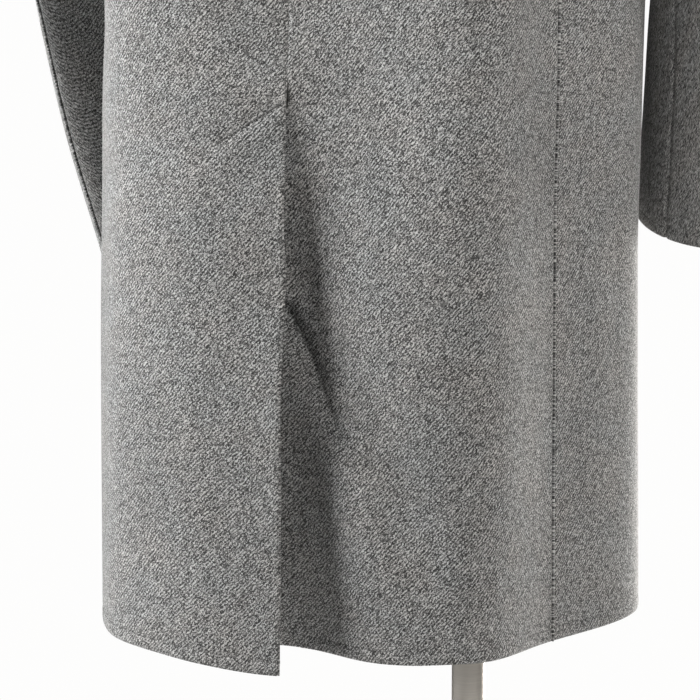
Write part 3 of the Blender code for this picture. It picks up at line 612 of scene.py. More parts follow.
def creaseHeight(panel, girth, z):
    # a narrow groove along a bowed line and a soft roll on one side of it, faded at both ends
    total = np.zeros_like(girth)
    t = np.linspace(0.0, 1.0, 25)[:, None]
    for g0, z0, g1, z1, g2, z2, width, depth, roll, rollWidth, lee in creases:
        if sideOf(panel) * g1 < 0.0:
            continue
        start, middle, end = np.array([(g0, z0), (g1, z1), (g2, z2)])
        knee = 2.0 * middle - 0.5 * (start + end)
        path = (1.0 - t) ** 2 * start + 2.0 * t * (1.0 - t) * knee + t ** 2 * end
        reach = 5.0 * max(width, rollWidth, 0.7 * lee)
        low = path.min(axis=0) - reach
        high = path.max(axis=0) + reach
        near = (girth > low[0]) & (girth < high[0]) & (z > low[1]) & (z < high[1])
        if not near.any():
            continue
        g = girth[near][:, None] - path[:, 0]
        h = z[near][:, None] - path[:, 1]
        closest = np.argmin(g ** 2 + h ** 2, axis=1)
        pick = np.arange(len(closest))
        tangent = unit(np.gradient(path, axis=0))[closest]
        gap = np.stack([g[pick, closest], h[pick, closest]], axis=1)
        across = gap[:, 0] * tangent[:, 1] - gap[:, 1] * tangent[:, 0]
        along = np.abs(np.sum(gap * tangent, axis=1))
        share = t[closest, 0]
        fade = eased(share / 0.12) * eased((1.0 - share) / 0.45) * bell(along, 2.0 * width)
        wide = width * (0.6 + 1.7 * share)
        slope = np.where(across < 0.0, np.maximum(lee, wide), wide)
        groove = depth * np.exp(-np.sqrt(across ** 2 + (0.25 * wide) ** 2) / slope)
        crown = roll * eased((share - 0.15) / 0.45) * bell(across + 1.1 * rollWidth, rollWidth)
        total[near] = total[near] + fade * (groove + crown)
    return total


def lapLift(panel, girth, z):
    # the left back stands over the right one below the vent's top, the left front over the right one
    half = 0.5 * (body["cloth"] + body["lapGap"])
    step = eased((ventTop + 0.02 - z) / 0.02)
    hang = np.clip((ventTop - z) / body["ventLength"], 0.0, 1.0) ** 1.4
    if panel == "back_left":
        near = 1.0 - eased((girth - body["ventUnderlap"] - 0.01) / 0.08)
        return half * step * near + body["ventFlare"] * hang * bell(girth, 0.12)
    if panel == "back_right":
        near = 1.0 - eased((-girth - 0.02) / 0.08)
        fall = eased((ventTop + 0.012 - z) / 0.11) * bell(np.minimum(girth + 0.004, 0.0), body["recessWidth"])
        sink = hang * bell(np.minimum(girth - 0.02, 0.0), body["sinkWidth"])
        return -half * step * near - body["ventRecess"] * fall - body["ventSink"] * sink
    side = sideOf(panel)
    before = halfGirth(z, side) - side * girth
    near = 1.0 - eased((before - 2.0 * body["frontLap"]) / 0.09)
    return side * half * near * (1.0 - eased((z - body["chestZ"]) / 0.1))


def hemRise(panel, girth, z):
    # the hem's uneven line, faded by the square of the way up
    table = np.array(hemLift)
    lift = curveThrough(table[:, 0], table[:, 1:], girth)[:, 0]
    if panel == "back_left":
        lift = lift - body["ventCornerDrop"] * bell(girth, 0.06)
    return lift * np.clip(1.0 - (z - body["hemZ"]) / body["hemReach"], 0.0, 1.0) ** 2


def bodyRow(panel, girth, z):
    # points of a panel's outer face at one level: the section moved out along its normal by the folds
    girths, section, _ = ringAt(z)
    at = [np.interp(girth + d, girths, section[:, k]) for d in (0.0, 0.004, -0.004) for k in (0, 1)]
    run = unit(np.stack([at[2] - at[4], at[3] - at[5]], axis=-1))
    level = np.full_like(girth, z)
    out = foldHeight(girth, level) + lapLift(panel, girth, z) + creaseHeight(panel, girth, level)
    return np.stack([at[0] - run[:, 1] * out, at[1] + run[:, 0] * out, z + hemRise(panel, girth, z)], axis=-1)


# Sleeve rings, shoulder to cuff: centre, tilt of the ring's plane, forward pitch, half sizes out and fore
sleeve = {
    "rings": [
        (0.2135, 0.000, 1.3000, 4.5, 0.0, 0.1050, 0.0720),
        (0.2400, 0.000, 1.2830, 20.0, 1.0, 0.0955, 0.0745),
        (0.2545, -0.002, 1.2510, 39.0, 2.0, 0.0765, 0.0745),
        (0.2575, -0.004, 1.2150, 63.0, 4.0, 0.0560, 0.0735),
        (0.2590, -0.008, 1.1760, 84.0, 7.0, 0.0480, 0.0715),
        (0.2585, -0.022, 1.1050, 91.0, 11.0, 0.0460, 0.0670),
        (0.2515, -0.046, 1.0250, 95.0, 15.0, 0.0485, 0.0615),
        (0.2460, -0.078, 0.9250, 97.0, 17.0, 0.0540, 0.0550),
        (0.2320, -0.120, 0.8000, 98.0, 18.0, 0.0565, 0.0500),
    ],
    "leftDrop": 0.030,
    "leftOutward": 0.0045,
    "leftForward": -0.006,
    "leftFlatter": 0.020,
    "leftTwist": 24.0,
    "leftNarrower": 0.010,
    "leftThinner": 0.009,
    "leftInward": 0.006,
    "armholeSeam": 138.0,
    "hindArm": 115.0,
    "foreArm": 226.8,
    "rows": 150,
    "columnStep": 0.0036,
    "cuffStitch": 0.0090,
    "cuffGroove": 0.0006,
    "cuffSwell": 0.0003,
}

# soft drags on a sleeve: share of its length and angle of both ends, half widths, depth
sleeveFolds = [
    (0.50, 60.0, 0.56, 150.0, 0.030, -0.0030),
    (0.57, 70.0, 0.62, 160.0, 0.028, -0.0026),
    (0.53, 250.0, 0.60, 330.0, 0.030, -0.0028),
    (0.64, 230.0, 0.70, 320.0, 0.032, -0.0024),
    (0.30, 60.0, 0.42, 110.0, 0.034, -0.0026),
    (0.30, 300.0, 0.44, 250.0, 0.034, -0.0026),
    (0.74, 90.0, 0.82, 190.0, 0.036, -0.0016),
]


def sleeveLoop(row, angles, twist=0.0):
    # ellipse of a ring; angle 0 is the shoulder point, 90 the back, 180 the underarm;
    # twist turns the ellipse about the sleeve's line, its back edge outward
    x, y, z, tilt, pitch, halfOut, halfFore = row
    tilt = math.radians(tilt)
    pitch = math.radians(pitch)
    twist = math.radians(twist)
    outward = np.array([math.sin(tilt), 0.0, math.cos(tilt)])
    rearward = np.array([0.0, math.cos(pitch), -math.sin(pitch)])
    short = (outward * math.cos(twist) - rearward * math.sin(twist)) * halfOut
    long = (rearward * math.cos(twist) + outward * math.sin(twist)) * halfFore
    turn = np.radians(angles)[:, None] - twist
    return np.array([x, y, z]) + np.cos(turn) * short + np.sin(turn) * long


def mirrored(points, side):
    return points * np.array([side, 1.0, 1.0])


def shoulderPoint(share):
    # straight from the neck point to the sleeve head's top
    tip = sleeveLoop(sleeve["rings"][0], np.array([0.0]))[0]
    start = np.array([body["neckHalf"], 0.0, body["neckPointZ"]])
    return start + (tip - start) * np.atleast_1d(share)[:, None]


def neckPoint(share):
    # a quarter of an ellipse from the centre back to the neck point
    share = np.atleast_1d(share)
    turn = 0.5 * math.pi * share
    z = body["neckZ"] + (body["neckPointZ"] - body["neckZ"]) * share
    return np.stack([body["neckHalf"] * np.sin(turn), body["neckBackY"] * np.cos(turn), z], axis=-1)


# Panels: the grid runs from the hem to the top edge, and from the first seam to the last edge.
# A column is a share of the panel's width; the top edge is neck, shoulder and armhole in turn.
backParts = (4.0, 8.0, 14.0)
frontParts = (10.0, 15.0)
yokeEase = 1.15
hemRows = np.array([
    0.0, 0.0007, 0.0016, 0.0028, 0.0044, 0.0062, 0.0078, 0.0088, 0.0095, 0.0102, 0.0112, 0.0128, 0.0150])


def topEdge(isBack, column):
    def shareOf(low, high):
        return np.clip((column - low) / (high - low), 0.0, 1.0)

    if isBack:
        neck = neckPoint(shareOf(0.0, backParts[0]))
        shoulder = shoulderPoint(shareOf(backParts[0], backParts[1]))
        turn = shareOf(backParts[1], backParts[2])
        armhole = sleeveLoop(sleeve["rings"][0], turn * sleeve["armholeSeam"])
        edge = np.where((column < backParts[0])[:, None], neck, shoulder)
        return np.where((column > backParts[1])[:, None], armhole, edge)
    turn = shareOf(0.0, frontParts[0])
    armhole = sleeveLoop(sleeve["rings"][0], sleeve["armholeSeam"] + (360.0 - sleeve["armholeSeam"]) * turn)
    shoulder = shoulderPoint(1.0 - shareOf(frontParts[0], frontParts[1]))
    return np.where((column > frontParts[0])[:, None], shoulder, armhole)


def panelGirths(panel, z, share):
    # a back runs from the centre back to the side seam, a front from there past the centre front,
    # less the lapel's roll above the break
    side = sideOf(panel)
    seam = side * body["seamShare"] * halfGirth(z, side)
    if panel.startswith("back"):
        return seam * share
    climb = np.clip((z - body["breakZ"]) / (body["neckPointZ"] - body["breakZ"]), 0.0, 1.0)
    roll = (body["neckHalf"] + body["frontLap"]) * climb
    return seam + (side * (halfGirth(z, side) + body["frontLap"] - roll) - seam) * share


def panelGrid(panel):
    # rows of sections up to the chest, then a yoke: a cubic in each column from the chest to the top edge,
    # leaving along the panel's rise and arriving over the shoulder
    isBack = panel.startswith("back")
    span = backParts[2] if isBack else frontParts[1]
    ends = panelGirths(panel, 0.85, np.array([0.0, 1.0]))
    width = abs(ends[1] - ends[0])
    closeReach = body["closeReach"].get(panel, 0.0)
    share = edgeSpread(width, body["columnStep"], closeReach, body["closeStep"]) / width
    closeTop = body["closeTop"].get(panel, 0.56)
    heights = np.concatenate([
        body["hemZ"] + hemRows[:-1],
        evenSteps(body["hemZ"] + hemRows[-1], closeTop, body["closeStep"])[:-1],
        evenSteps(closeTop, body["chestZ"], body["rowStep"]),
    ])
    girths = np.array([panelGirths(panel, z, share) for z in heights])
    if panel == "back_left":
        # the vent's edge hangs a little past the centre line
        hang = np.clip((ventTop - heights) / body["ventLength"], 0.0, 1.0)[:, None]
        girths = girths - body["ventEdgeShift"] * hang * (1.0 - eased(share / 0.4))
    lower = np.array([bodyRow(panel, g, z) for g, z in zip(girths, heights)])
    base = lower[-1]
    rise = unit(base - bodyRow(panel, girths[-1], body["chestZ"] - 0.02))
    edge = mirrored(topEdge(isBack, share * span), sideOf(panel))
    column = share * span
    if isBack:
        level = eased((column + 2.0) / (backParts[0] + 2.0)) * (1.0 - eased((column - backParts[1]) / 4.0))
    else:
        level = eased((column - frontParts[0] + 4.0) / 4.0)
    direct = unit(edge - base)
    over = unit(np.array([0.0, -1.0 if isBack else 1.0, 0.25]))
    arrive = unit(direct * (1.0 - level[:, None]) + over * level[:, None])
    length = np.linalg.norm(edge - base, axis=1)[:, None]
    t = 1.0 - (1.0 - np.linspace(0.0, 1.0, body["yokeRows"] + 1)[1:]) ** yokeEase
    t = t[:, None, None]
    blend = 3.0 * t ** 2 - 2.0 * t ** 3
    yoke = (base * (1.0 - blend) + edge * blend + rise * length * (t - 2.0 * t ** 2 + t ** 3)
            + arrive * length * (t ** 3 - t ** 2))
    points = np.concatenate([lower, yoke])
    allGirths = np.concatenate([girths, np.repeat(girths[-1:], body["yokeRows"], axis=0)])
    uv = np.stack([-allGirths, arcAlong(points, 0)], axis=-1)
    return points, uv, allGirths, heights, share


def ventSlantZ(girth):
    # height of the slanted line that holds the vent's underlap
    return ventTop + 0.001 - body["ventStitchSlope"] * girth


def sunk(points, normals, sinks):
    # move points in along their normals by a list of depths
    return points - normals * np.sum(sinks, axis=0)[..., None]


def turnedEdge(fromEdge, stitchAt, groove, swell):
    # a turned-up edge: thinner at its fold, a soft swell, then the groove that its stitches draw in
    fold = 0.0006 * bell(fromEdge, 0.0012)
    return fold - swell * bell(fromEdge - 0.004, 0.004) + groove * bell(fromEdge - stitchAt, 0.0016)


def drawIn(edge, beside, inset):
    # move a grid's edge, in place, towards the row or column beside it
    edge += unit(beside - edge) * inset


panels = {}


def addCloth(node, outer, normals, uv):
    # a wall of cloth that takes a node's place
    piece = shellPiece(node + "Cloth", outer + body["offset"], normals, uv, twill, body["cloth"])
    settle(piece, node)


def makePanel(panel):
    # the panel's grid with its seams, hem and vent stitching sunk by bells of the distance from each line
    points, uv, girths, heights, share = panelGrid(panel)
    outward = levelled(points)
    isBack = panel.startswith("back")
    normals = gridNormals(points, outward)
    fromFirst = arcAlong(points, 1)
    fromLast = fromFirst[:, -1:] - fromFirst
    upRows = arcAlong(points, 0)
    fromTop = upRows[-1:] - upRows
    rowZ = np.concatenate([heights, np.full(body["yokeRows"], 1.3)])[:, None]
    sinks = [
        body["seamSink"] * bell(fromLast if isBack else fromFirst, body["seamWidth"]),
        0.6 * body["seamSink"] * bell(fromTop, body["seamWidth"]),
        turnedEdge(upRows, body["hemStitch"], body["hemGroove"], body["hemSwell"]),
    ]
    if isBack:
        closed = eased((rowZ - ventTop + 0.004) / 0.01)
        sinks.append(closed * 0.5 * body["seamSink"] * bell(fromFirst, body["seamWidth"]))
    if panel == "back_left":
        sinks.append((1.0 - closed) * 0.0010 * bell(fromFirst, 0.0013))
        chestRow = len(heights) - 1
        level = np.concatenate([heights, heights[-1] + upRows[chestRow + 1:, 0] - upRows[chestRow, 0]])
        offLine = (level[:, None] - ventSlantZ(girths)) * 0.85
        within = eased((girths - 0.001) / 0.004) * (1.0 - eased((girths - body["ventStitchEnd"]) / 0.006))
        sinks.append(body["ventGroove"] * bell(offLine, 0.0024) * within)
        sinks.append(-body["ventRidge"] * bell(offLine + 0.008, 0.0065) * within)
    if not isBack:
        sinks.append(0.0009 * bell(fromLast, 0.0014) + 0.0004 * bell(fromLast - 0.006, 0.0016))
    points = sunk(points, normals, sinks)
    inset = body["seamOpen"]
    drawIn(points[:, 0], points[:, 1], (0.15 if isBack else 1.0) * inset)
    drawIn(points[:, -1], points[:, -2], inset)
    drawIn(points[-1], points[-2], inset)
    normals = gridNormals(points, outward)
    panels[panel] = {
        "points": points, "normals": normals, "upRows": upRows, "fromLast": fromLast, "share": share,
        "heights": heights}
    if panel == "back_right":
        points, normals, uv = withUnderlap(points, normals, uv, heights, upRows)
    addCloth(panel, points, normals, uv)


def withUnderlap(points, normals, uv, heights, upRows):
    # the right back carries on under the left one below the vent, with a slanted top
    girths = np.concatenate([np.linspace(body["ventUnderlap"], 0.004, 13), [0.0018]])
    added = np.full((len(points), len(girths), 3), np.nan)
    addedUv = np.zeros((len(points), len(girths), 2))
    for i, z in enumerate(heights):
        row = bodyRow("back_right", girths, z)
        keep = z <= ventTop - body["ventSlant"] * girths / body["ventUnderlap"]
        row[~keep] = np.nan
        added[i] = row
        addedUv[i] = np.stack([-girths, np.full_like(girths, upRows[i, 0])], axis=-1)
    added = added - np.nan_to_num(normals[:, :1]) * 0.0006 * bell(upRows[:, :1, None], 0.0012)
    grid = np.concatenate([added, points], axis=1)
    filled = np.where(np.isnan(grid), points[:, :1], grid)
    under = gridNormals(filled, levelled(filled))[:, :len(girths)]
    allNormals = np.concatenate([under, normals], axis=1)
    return grid, allNormals, np.concatenate([addedUv, uv], axis=1)


for panelName in ("back_left", "back_right", "front_left", "front_right"):
    makePanel(panelName)
print("body panels made")


# Sleeves: each tube is two cuts, parted at the hind-arm and fore-arm lines

def sleeveSurface(askew, angles, shares):
    # ellipses on a smooth curve through the ring rows; askew lowers, turns and flattens the left sleeve
    table = np.array(sleeve["rings"])
    rows = curveThrough(np.arange(len(table)), table, shares * (len(table) - 1.0))
    hang = askew * eased(-0.2 + 1.2 * shares)
    rows[:, 2] -= sleeve["leftDrop"] * hang
    rows[:, 0] += sleeve["leftOutward"] * eased(2.0 * hang)
    rows[:, 5] -= sleeve["leftFlatter"] * eased(2.0 * hang)
    rows[:, 6] += (0.7 * sleeve["leftFlatter"] - sleeve["leftNarrower"]) * eased(2.0 * hang)
    slack = eased(1.28 * hang)
    rows[:, 5] -= sleeve["leftThinner"] * slack
    rows[:, 0] -= sleeve["leftInward"] * slack * (1.55 - 0.45 * eased((shares - 0.82) / 0.11))
    rows[:, 1] -= sleeve["leftForward"] * slack
    points = np.array([sleeveLoop(row, angles, sleeve["leftTwist"] * h) for row, h in zip(rows, slack)])
    return points, np.repeat(rows[:, None, :3], len(angles), axis=1)


def sleeveFoldHeight(shares, angles, askew):
    # bells across slanted lines round the tube
    total = np.zeros((len(shares), len(angles)))
    s = shares[:, None]
    a = np.mod(angles, 360.0)[None, :] + 25.0 * askew
    for s0, a0, s1, a1, half, depth in sleeveFolds:
        t = np.clip((a - a0) / (a1 - a0), -0.4, 1.4)
        middle = s0 + (s1 - s0) * t
        fade = bell(np.maximum(np.abs(t - 0.5) - 0.4, 0.0), 0.25)
        total = total + depth * bell(s - middle, half) * fade
    return total


sleeveGrids = {}


def makeSleeve(sideName, side, cut):
    # the part of the tube between two angles, with its drags and seams sunk in
    askew = 1.0 if sideName == "left" else 0.0
    low, high = sleeve["hindArm"], sleeve["foreArm"]
    if cut == "top_sleeve":
        low, high = high, low + 360.0
    width = math.radians(high - low) * 0.062
    angles = low + (high - low) * edgeSpread(width, sleeve["columnStep"]) / width
    length = 0.62
    shares = 1.0 - edgeSpread(length, length / sleeve["rows"])[::-1] / length
    shares = np.unique(np.concatenate([shares, 1.0 - hemRows / length]))
    points, centres = sleeveSurface(askew, angles, shares)
    outward = points - centres
    normals = gridNormals(points, outward)
    fromTop = arcAlong(points, 0)
    fromCuff = fromTop[-1:] - fromTop
    fromFirst = arcAlong(points, 1)
    fromLast = fromFirst[:, -1:] - fromFirst
    sinks = [
        -sleeveFoldHeight(shares, angles, askew),
        0.6 * body["seamSink"] * (bell(fromFirst, body["seamWidth"]) + bell(fromLast, body["seamWidth"])),
        0.6 * body["seamSink"] * bell(fromTop, body["seamWidth"]),
        turnedEdge(fromCuff, sleeve["cuffStitch"], sleeve["cuffGroove"], sleeve["cuffSwell"]),
    ]
    points = sunk(points, normals, sinks)
    inset = 0.3 * body["seamOpen"]
    drawIn(points[:, 0], points[:, 1], inset)
    drawIn(points[:, -1], points[:, -2], inset)
    drawIn(points[0], points[1], inset)
    points = mirrored(points, side)
    normals = gridNormals(points, mirrored(outward, side))
    around = fromFirst.mean(axis=0)[None, :] + 0.0 * fromTop
    uv = np.stack([side * around + 0.37 * (cut == "top_sleeve"), -fromTop], axis=-1)
    node = cut + "_" + sideName
    sleeveGrids[node] = (points, normals, fromCuff)
    addCloth(node, points, normals, uv)


for sideName, side in (("left", 1.0), ("right", -1.0)):
    for cut in ("top_sleeve", "under_sleeve"):
        makeSleeve(sideName, side, cut)
print("sleeves made")


# Places on a finished panel: t is the way from the chest (0) to the top edge (1), column as in topEdge

def panelPlace(panel, t, column):
    facts = panels[panel]
    span = backParts[2] if panel.startswith("back") else frontParts[1]
    rows = len(facts["heights"]) - 1.0 + body["yokeRows"] * (1.0 - (1.0 - t) ** (1.0 / yokeEase))
    columns = numberAt(facts["share"], column / span)
    return sampledAt(facts["points"], rows, columns), unit(sampledAt(facts["normals"], rows, columns))


# Lapels: turned back round the front edge and laid on the fronts
lapel = {
    "width": 0.088,
    "spring": 0.0016,
    "edgeLift": 0.0038,
    "top": 0.70,
    "startZ": {"left": 1.090, "right": 1.190},
    "chestShare": 0.339,
    "tipRise": 0.012,
    "rollRadius": 0.0027,
    "stitchInset": 0.006,
}
sewnGrids = {}


def edgeGroove(fromEdge):
    # the thin pressed edge and the line that its stitches draw in
    return 0.0006 * bell(fromEdge, 0.0012) + 0.0004 * bell(fromEdge - lapel["stitchInset"], 0.0014)


def makeLapel(sideName):
    # the front's own surface from its edge inwards, lifted along its normals, after a half-round roll
    facts = panels["front_" + sideName]
    heights = facts["heights"]
    chestRow = len(heights) - 1.0
    firstRow = numberAt(heights, lapel["startZ"][sideName])
    lastRow = chestRow + body["yokeRows"] * (1.0 - (1.0 - lapel["top"]) ** (1.0 / yokeEase))
    rows = np.linspace(firstRow, lastRow, 84)
    z = np.interp(rows, np.arange(len(heights)), heights)
    climb = 1.0 - (1.0 - np.clip((rows - chestRow) / body["yokeRows"], 0.0, 1.0)) ** yokeEase
    share = lapel["chestShare"] * (z - body["breakZ"]) / (body["chestZ"] - body["breakZ"])
    share = np.clip(share + (1.0 - lapel["chestShare"]) * climb / lapel["top"], 0.0, 1.0)
    width = lapel["width"] * (0.10 + 0.90 * share ** 0.85)
    inset = edgeSpread(lapel["width"], 0.0040) / lapel["width"]
    numbers = np.arange(facts["points"].shape[1], dtype=float)
    rowGrid, columnGrid = np.meshgrid(rows, numbers, indexing="ij")
    fromEdge = sampledAt(facts["fromLast"][..., None], rowGrid, columnGrid)
    columns = np.array([
        np.interp(wide * inset, away[::-1], numbers[::-1]) for wide, away in zip(width, fromEdge[..., 0])])
    rowLength = facts["upRows"][-1, -1] / len(facts["upRows"])
    tipped = rows[:, None] + lapel["tipRise"] / rowLength * (share ** 5)[:, None] * inset ** 1.5
    base = sampledAt(facts["points"], tipped, columns)
    out = unit(sampledAt(facts["normals"], tipped, columns))
    rise = body["seamGap"] + lapel["spring"] * np.sin(math.pi * inset ** 0.7) + lapel["edgeLift"] * inset ** 3
    rise = rise + 0.5 * body["lapGap"] * inset + body["cloth"]
    laid = base + out * (rise - edgeGroove((1.0 - inset) * width[:, None]))[..., None]
    turn = np.radians(np.linspace(-80.0, 70.0, 9))
    away = unit(base[:, :1] - base[:, 1:2])
    roll = base[:, :1] + lapel["rollRadius"] * (
        away * np.cos(turn)[None, :, None] + out[:, :1] * np.sin(turn)[None, :, None])
    outer = np.concatenate([roll, laid], axis=1)
    normals = gridNormals(outer, np.concatenate([0.0 * roll, out], axis=1))
    uv = np.stack([arcAlong(outer, 1), arcAlong(outer, 0)], axis=-1)
    sewnGrids["lapel_" + sideName] = (outer, normals)
    addCloth("lapel_" + sideName, outer, normals, uv)


makeLapel("left")
makeLapel("right")


# Collar: a stand, a fold and a fall round the neck
collar = {"stand": 0.036, "fall": 0.048, "alongSteps": 200, "acrossSteps": 44}


def collarStations():
    # neckline, the cloth under the fall and its normals, from the centre back round to the left end
    reach = np.array([0.0, 0.5, 1.0]) * collar["fall"]

    def span(panel, t, columns):
        first, last = panelPlace(panel, np.array(t), np.array(columns))[0]
        return np.linalg.norm(first - last)

    rowLength = span("back_left", (1.0, 0.875), (2.0, 2.0))
    columnLength = span("back_left", (1.0, 1.0), (6.0, 5.0))
    frontLength = span("front_left", (0.875, 0.875), (15.0, 14.0))
    stations = []
    for share in np.linspace(0.0, 1.0, 6):
        turn = 0.5 * math.pi * share ** 1.5
        t = 1.0 - 0.125 * reach * math.cos(turn) / rowLength
        stations.append(panelPlace("back_left", t, 4.0 * share + reach * math.sin(turn) / columnLength))
    for drop in (0.35, 0.8, 1.2, 1.5):
        t = np.full(3, 1.0 - 0.125 * drop)
        stations.append(panelPlace("front_left", t, 15.0 - reach / frontLength))
    return stations


def collarLine(station, share):
    # middle line of the cloth at a station: up the stand, over the fold, down the fall
    base, out = station
    up = unit(out[0] * (0.15 + 0.6 * share) + np.array([0.0, 0.0, 1.0 - 0.5 * share]))
    away = unit(base[2] - base[0])
    away = unit(away - up * np.dot(away, up))
    stand = collar["stand"] * (1.0 - 0.55 * share)
    foot = base[0] + up * (0.5 * body["cloth"] + 2.0 * body["seamGap"]) - away * 0.001
    return np.array([
        foot,
        foot + up * 0.55 * stand - away * 0.004,
        foot + up * 0.92 * stand - away * 0.003,
        foot + up * 1.00 * stand + away * 0.003,
        foot + up * 0.90 * stand + away * 0.009,
        base[1] + out[1] * (0.45 * stand + 0.002),
        base[2] + out[2] * (0.5 * body["cloth"] + 0.0042),
    ])


def makeCollar():
    # smooth curves through the stations' lines, along and then across, thickened to both sides
    stations = collarStations()
    left = np.array([collarLine(s, i / (len(stations) - 1.0)) for i, s in enumerate(stations)])
    coarse = np.concatenate([mirrored(left[:0:-1], -1.0), left])
    count, points = coarse.shape[:2]
    along = edgeSpread(1.0, 1.0 / collar["alongSteps"]) * (count - 1.0)
    middle = curveThrough(np.arange(count), coarse.reshape(count, -1), along).reshape(-1, points, 3)
    across = edgeSpread(0.12, 0.12 / collar["acrossSteps"]) / 0.12 * (points - 1.0)
    turned = middle.transpose(1, 0, 2).reshape(points, -1)
    middle = curveThrough(np.arange(points), turned, across).reshape(len(across), -1, 3).transpose(1, 0, 2)
    fold = bell(across - 3.0, 0.3)[None, :, None] * np.array([0.0, 0.0, 1.0]) + 0.0 * middle
    normals = gridNormals(middle, fold)
    outer = middle + 0.5 * body["cloth"] * normals
    fromEdge = arcAlong(outer, 1)[:, -1:] - arcAlong(outer, 1)
    outer = outer - normals * edgeGroove(fromEdge)[..., None]
    normals = gridNormals(outer, fold)
    uv = np.stack([arcAlong(outer, 0), -arcAlong(outer, 1)], axis=-1)
    sewnGrids["collar"] = (outer, normals)
    addCloth("collar", outer, normals, uv)


makeCollar()


# Hip pocket flaps: laid on the fronts, lower corners rounded
flap = {
    "width": 0.14,
    "height": 0.058,
    "seat": 0.0008,
    "topZ": 0.905,
    "fromFront": 0.05,
    "corner": 0.016,
    "slant": 0.006,
}


def makeFlap(sideName, side):
    # the front's own surface under the flap, lifted along its normals; quarter circles cut the corners
    panel = "front_" + sideName
    across = edgeSpread(flap["width"], 0.0032)
    down = edgeSpread(flap["height"], 0.0030) / flap["height"]
    levels = np.linspace(0.0, 1.0, 24)
    base = []
    for t in levels:
        z = flap["topZ"] - flap["height"] * t
        base.append(bodyRow(panel, side * (halfGirth(z, side) - flap["fromFront"] - across), z))
    base = np.array(base)
    base[..., 2] -= flap["slant"] * (across / flap["width"] - 0.5)
    out = gridNormals(base, levelled(base))
    fromEnd = np.minimum(across, flap["width"] - across)
    near = np.minimum(fromEnd, flap["corner"])
    cut = flap["corner"] - np.sqrt(np.maximum(flap["corner"] ** 2 - (flap["corner"] - near) ** 2, 0.0))
    reach = 1.0 - cut / flap["height"]
    rows = down[:, None] * reach * (len(levels) - 1.0)
    columns = np.arange(len(across))[None, :] + 0.0 * rows
    lift = flap["seat"] * (1.0 + 3.0 * rows / (len(levels) - 1.0)) + body["cloth"]
    lift = lift - edgeGroove(np.minimum((1.0 - down[:, None]) * reach * flap["height"], fromEnd))
    normals = unit(sampledAt(out, rows, columns))
    outer = sampledAt(base, rows, columns) + normals * lift[..., None]
    uv = np.stack([-side * across[None, :] + 0.0 * rows, -rows / len(levels) * flap["height"]], axis=-1)
    sewnGrids["flap_" + sideName] = (outer, normals)
    addCloth("flap_" + sideName, outer, normals, uv)


makeFlap("left", 1.0)
makeFlap("right", -1.0)
print("lapels, collar and flaps made")


# Stitches: short rounded lengths of thread that dip into the cloth at both ends
# pitch, length and radius of each kind
stitch = {
    "hemStitches": (0.0048, 0.0030, 0.00030),
    "cuffStitches": (0.0040, 0.0030, 0.00030),
    "edgeStitches": (0.0048, 0.0030, 0.00030),
    # the seams' thread overlaps itself into one unbroken dark line, painted shade standing in for the shadow
    # in the side seams' ditch
    "seamShadeThread": (0.0030, 0.0033, 0.00055),
    "ventStitches": (0.0034, 0.0029, 0.00060),
    "buttonThread": (0.0055, 0.0058, 0.00040),
}


def stitchMesh(lines, pitch, length, radius):
    # each line is points and normals along it; a stitch is a tube of five rings of five sides
    rings = np.linspace(-0.5, 0.5, 5)
    lift = np.array([-0.9, 0.35, 0.6, 0.35, -0.9])
    girth = np.array([0.45, 1.0, 1.0, 1.0, 0.45])
    turn = fullTurn(5)
    made = []
    for points, normals in lines:
        walk = arcAlong(points, 0)
        count = int(walk[-1] / pitch)
        if count < 1:
            continue
        at = (np.arange(count) + 0.5) * walk[-1] / count
        at = np.clip(at[:, None] + rings * length, 0.0, walk[-1])
        place = np.stack([np.interp(at, walk, points[:, k]) for k in range(3)], axis=-1)
        out = unit(np.stack([np.interp(at, walk, normals[:, k]) for k in range(3)], axis=-1))
        run = unit(place[:, -1:] - place[:, :1])
        beside = unit(np.cross(run, out))
        centre = place + out * (lift * radius)[None, :, None]
        ring = (girth * radius)[None, :, None, None]
        made.append(centre[:, :, None] + ring * (
            beside[:, :, None] * np.cos(turn)[:, None] + out[:, :, None] * np.sin(turn)[:, None]))
    made = np.concatenate(made)
    faces = quadsOf(5, 5, closed=True)
    faces = (faces[None] + 25 * np.arange(len(made))[:, None, None]).reshape(-1, 4)
    return made.reshape(-1, 3), faces


def addStitches(name, lines):
    vertices, faces = stitchMesh(lines, *stitch[name])
    settle(meshPiece(name, vertices + body["offset"], faces, vertices[:, [0, 2]], thread))


def lineOnGrid(points, normals, rows, columns):
    rows = np.asarray(rows, float) + 0.0 * np.asarray(columns, float)
    columns = np.asarray(columns, float) + 0.0 * rows
    return sampledAt(points, rows, columns), unit(sampledAt(normals, rows, columns))


def hemLine(panel):
    facts = panels[panel]
    row = numberAt(facts["upRows"][:, 0], body["hemStitch"])
    return lineOnGrid(facts["points"], facts["normals"], row, np.arange(1.0, facts["points"].shape[1] - 1.0))


def cuffLine(node):
    points, normals, fromCuff = sleeveGrids[node]
    row = numberAt(-fromCuff[:, 0], -sleeve["cuffStitch"])
    return lineOnGrid(points, normals, row, np.arange(1.0, points.shape[1] - 1.0))


def insetLine(node):
    # a line inside the last column's edge by the stitch inset
    points, normals = sewnGrids[node]
    columns = np.array([numberAt(row, row[-1] - lapel["stitchInset"]) for row in arcAlong(points, 1)])
    return lineOnGrid(points, normals, np.arange(len(points), dtype=float), columns)


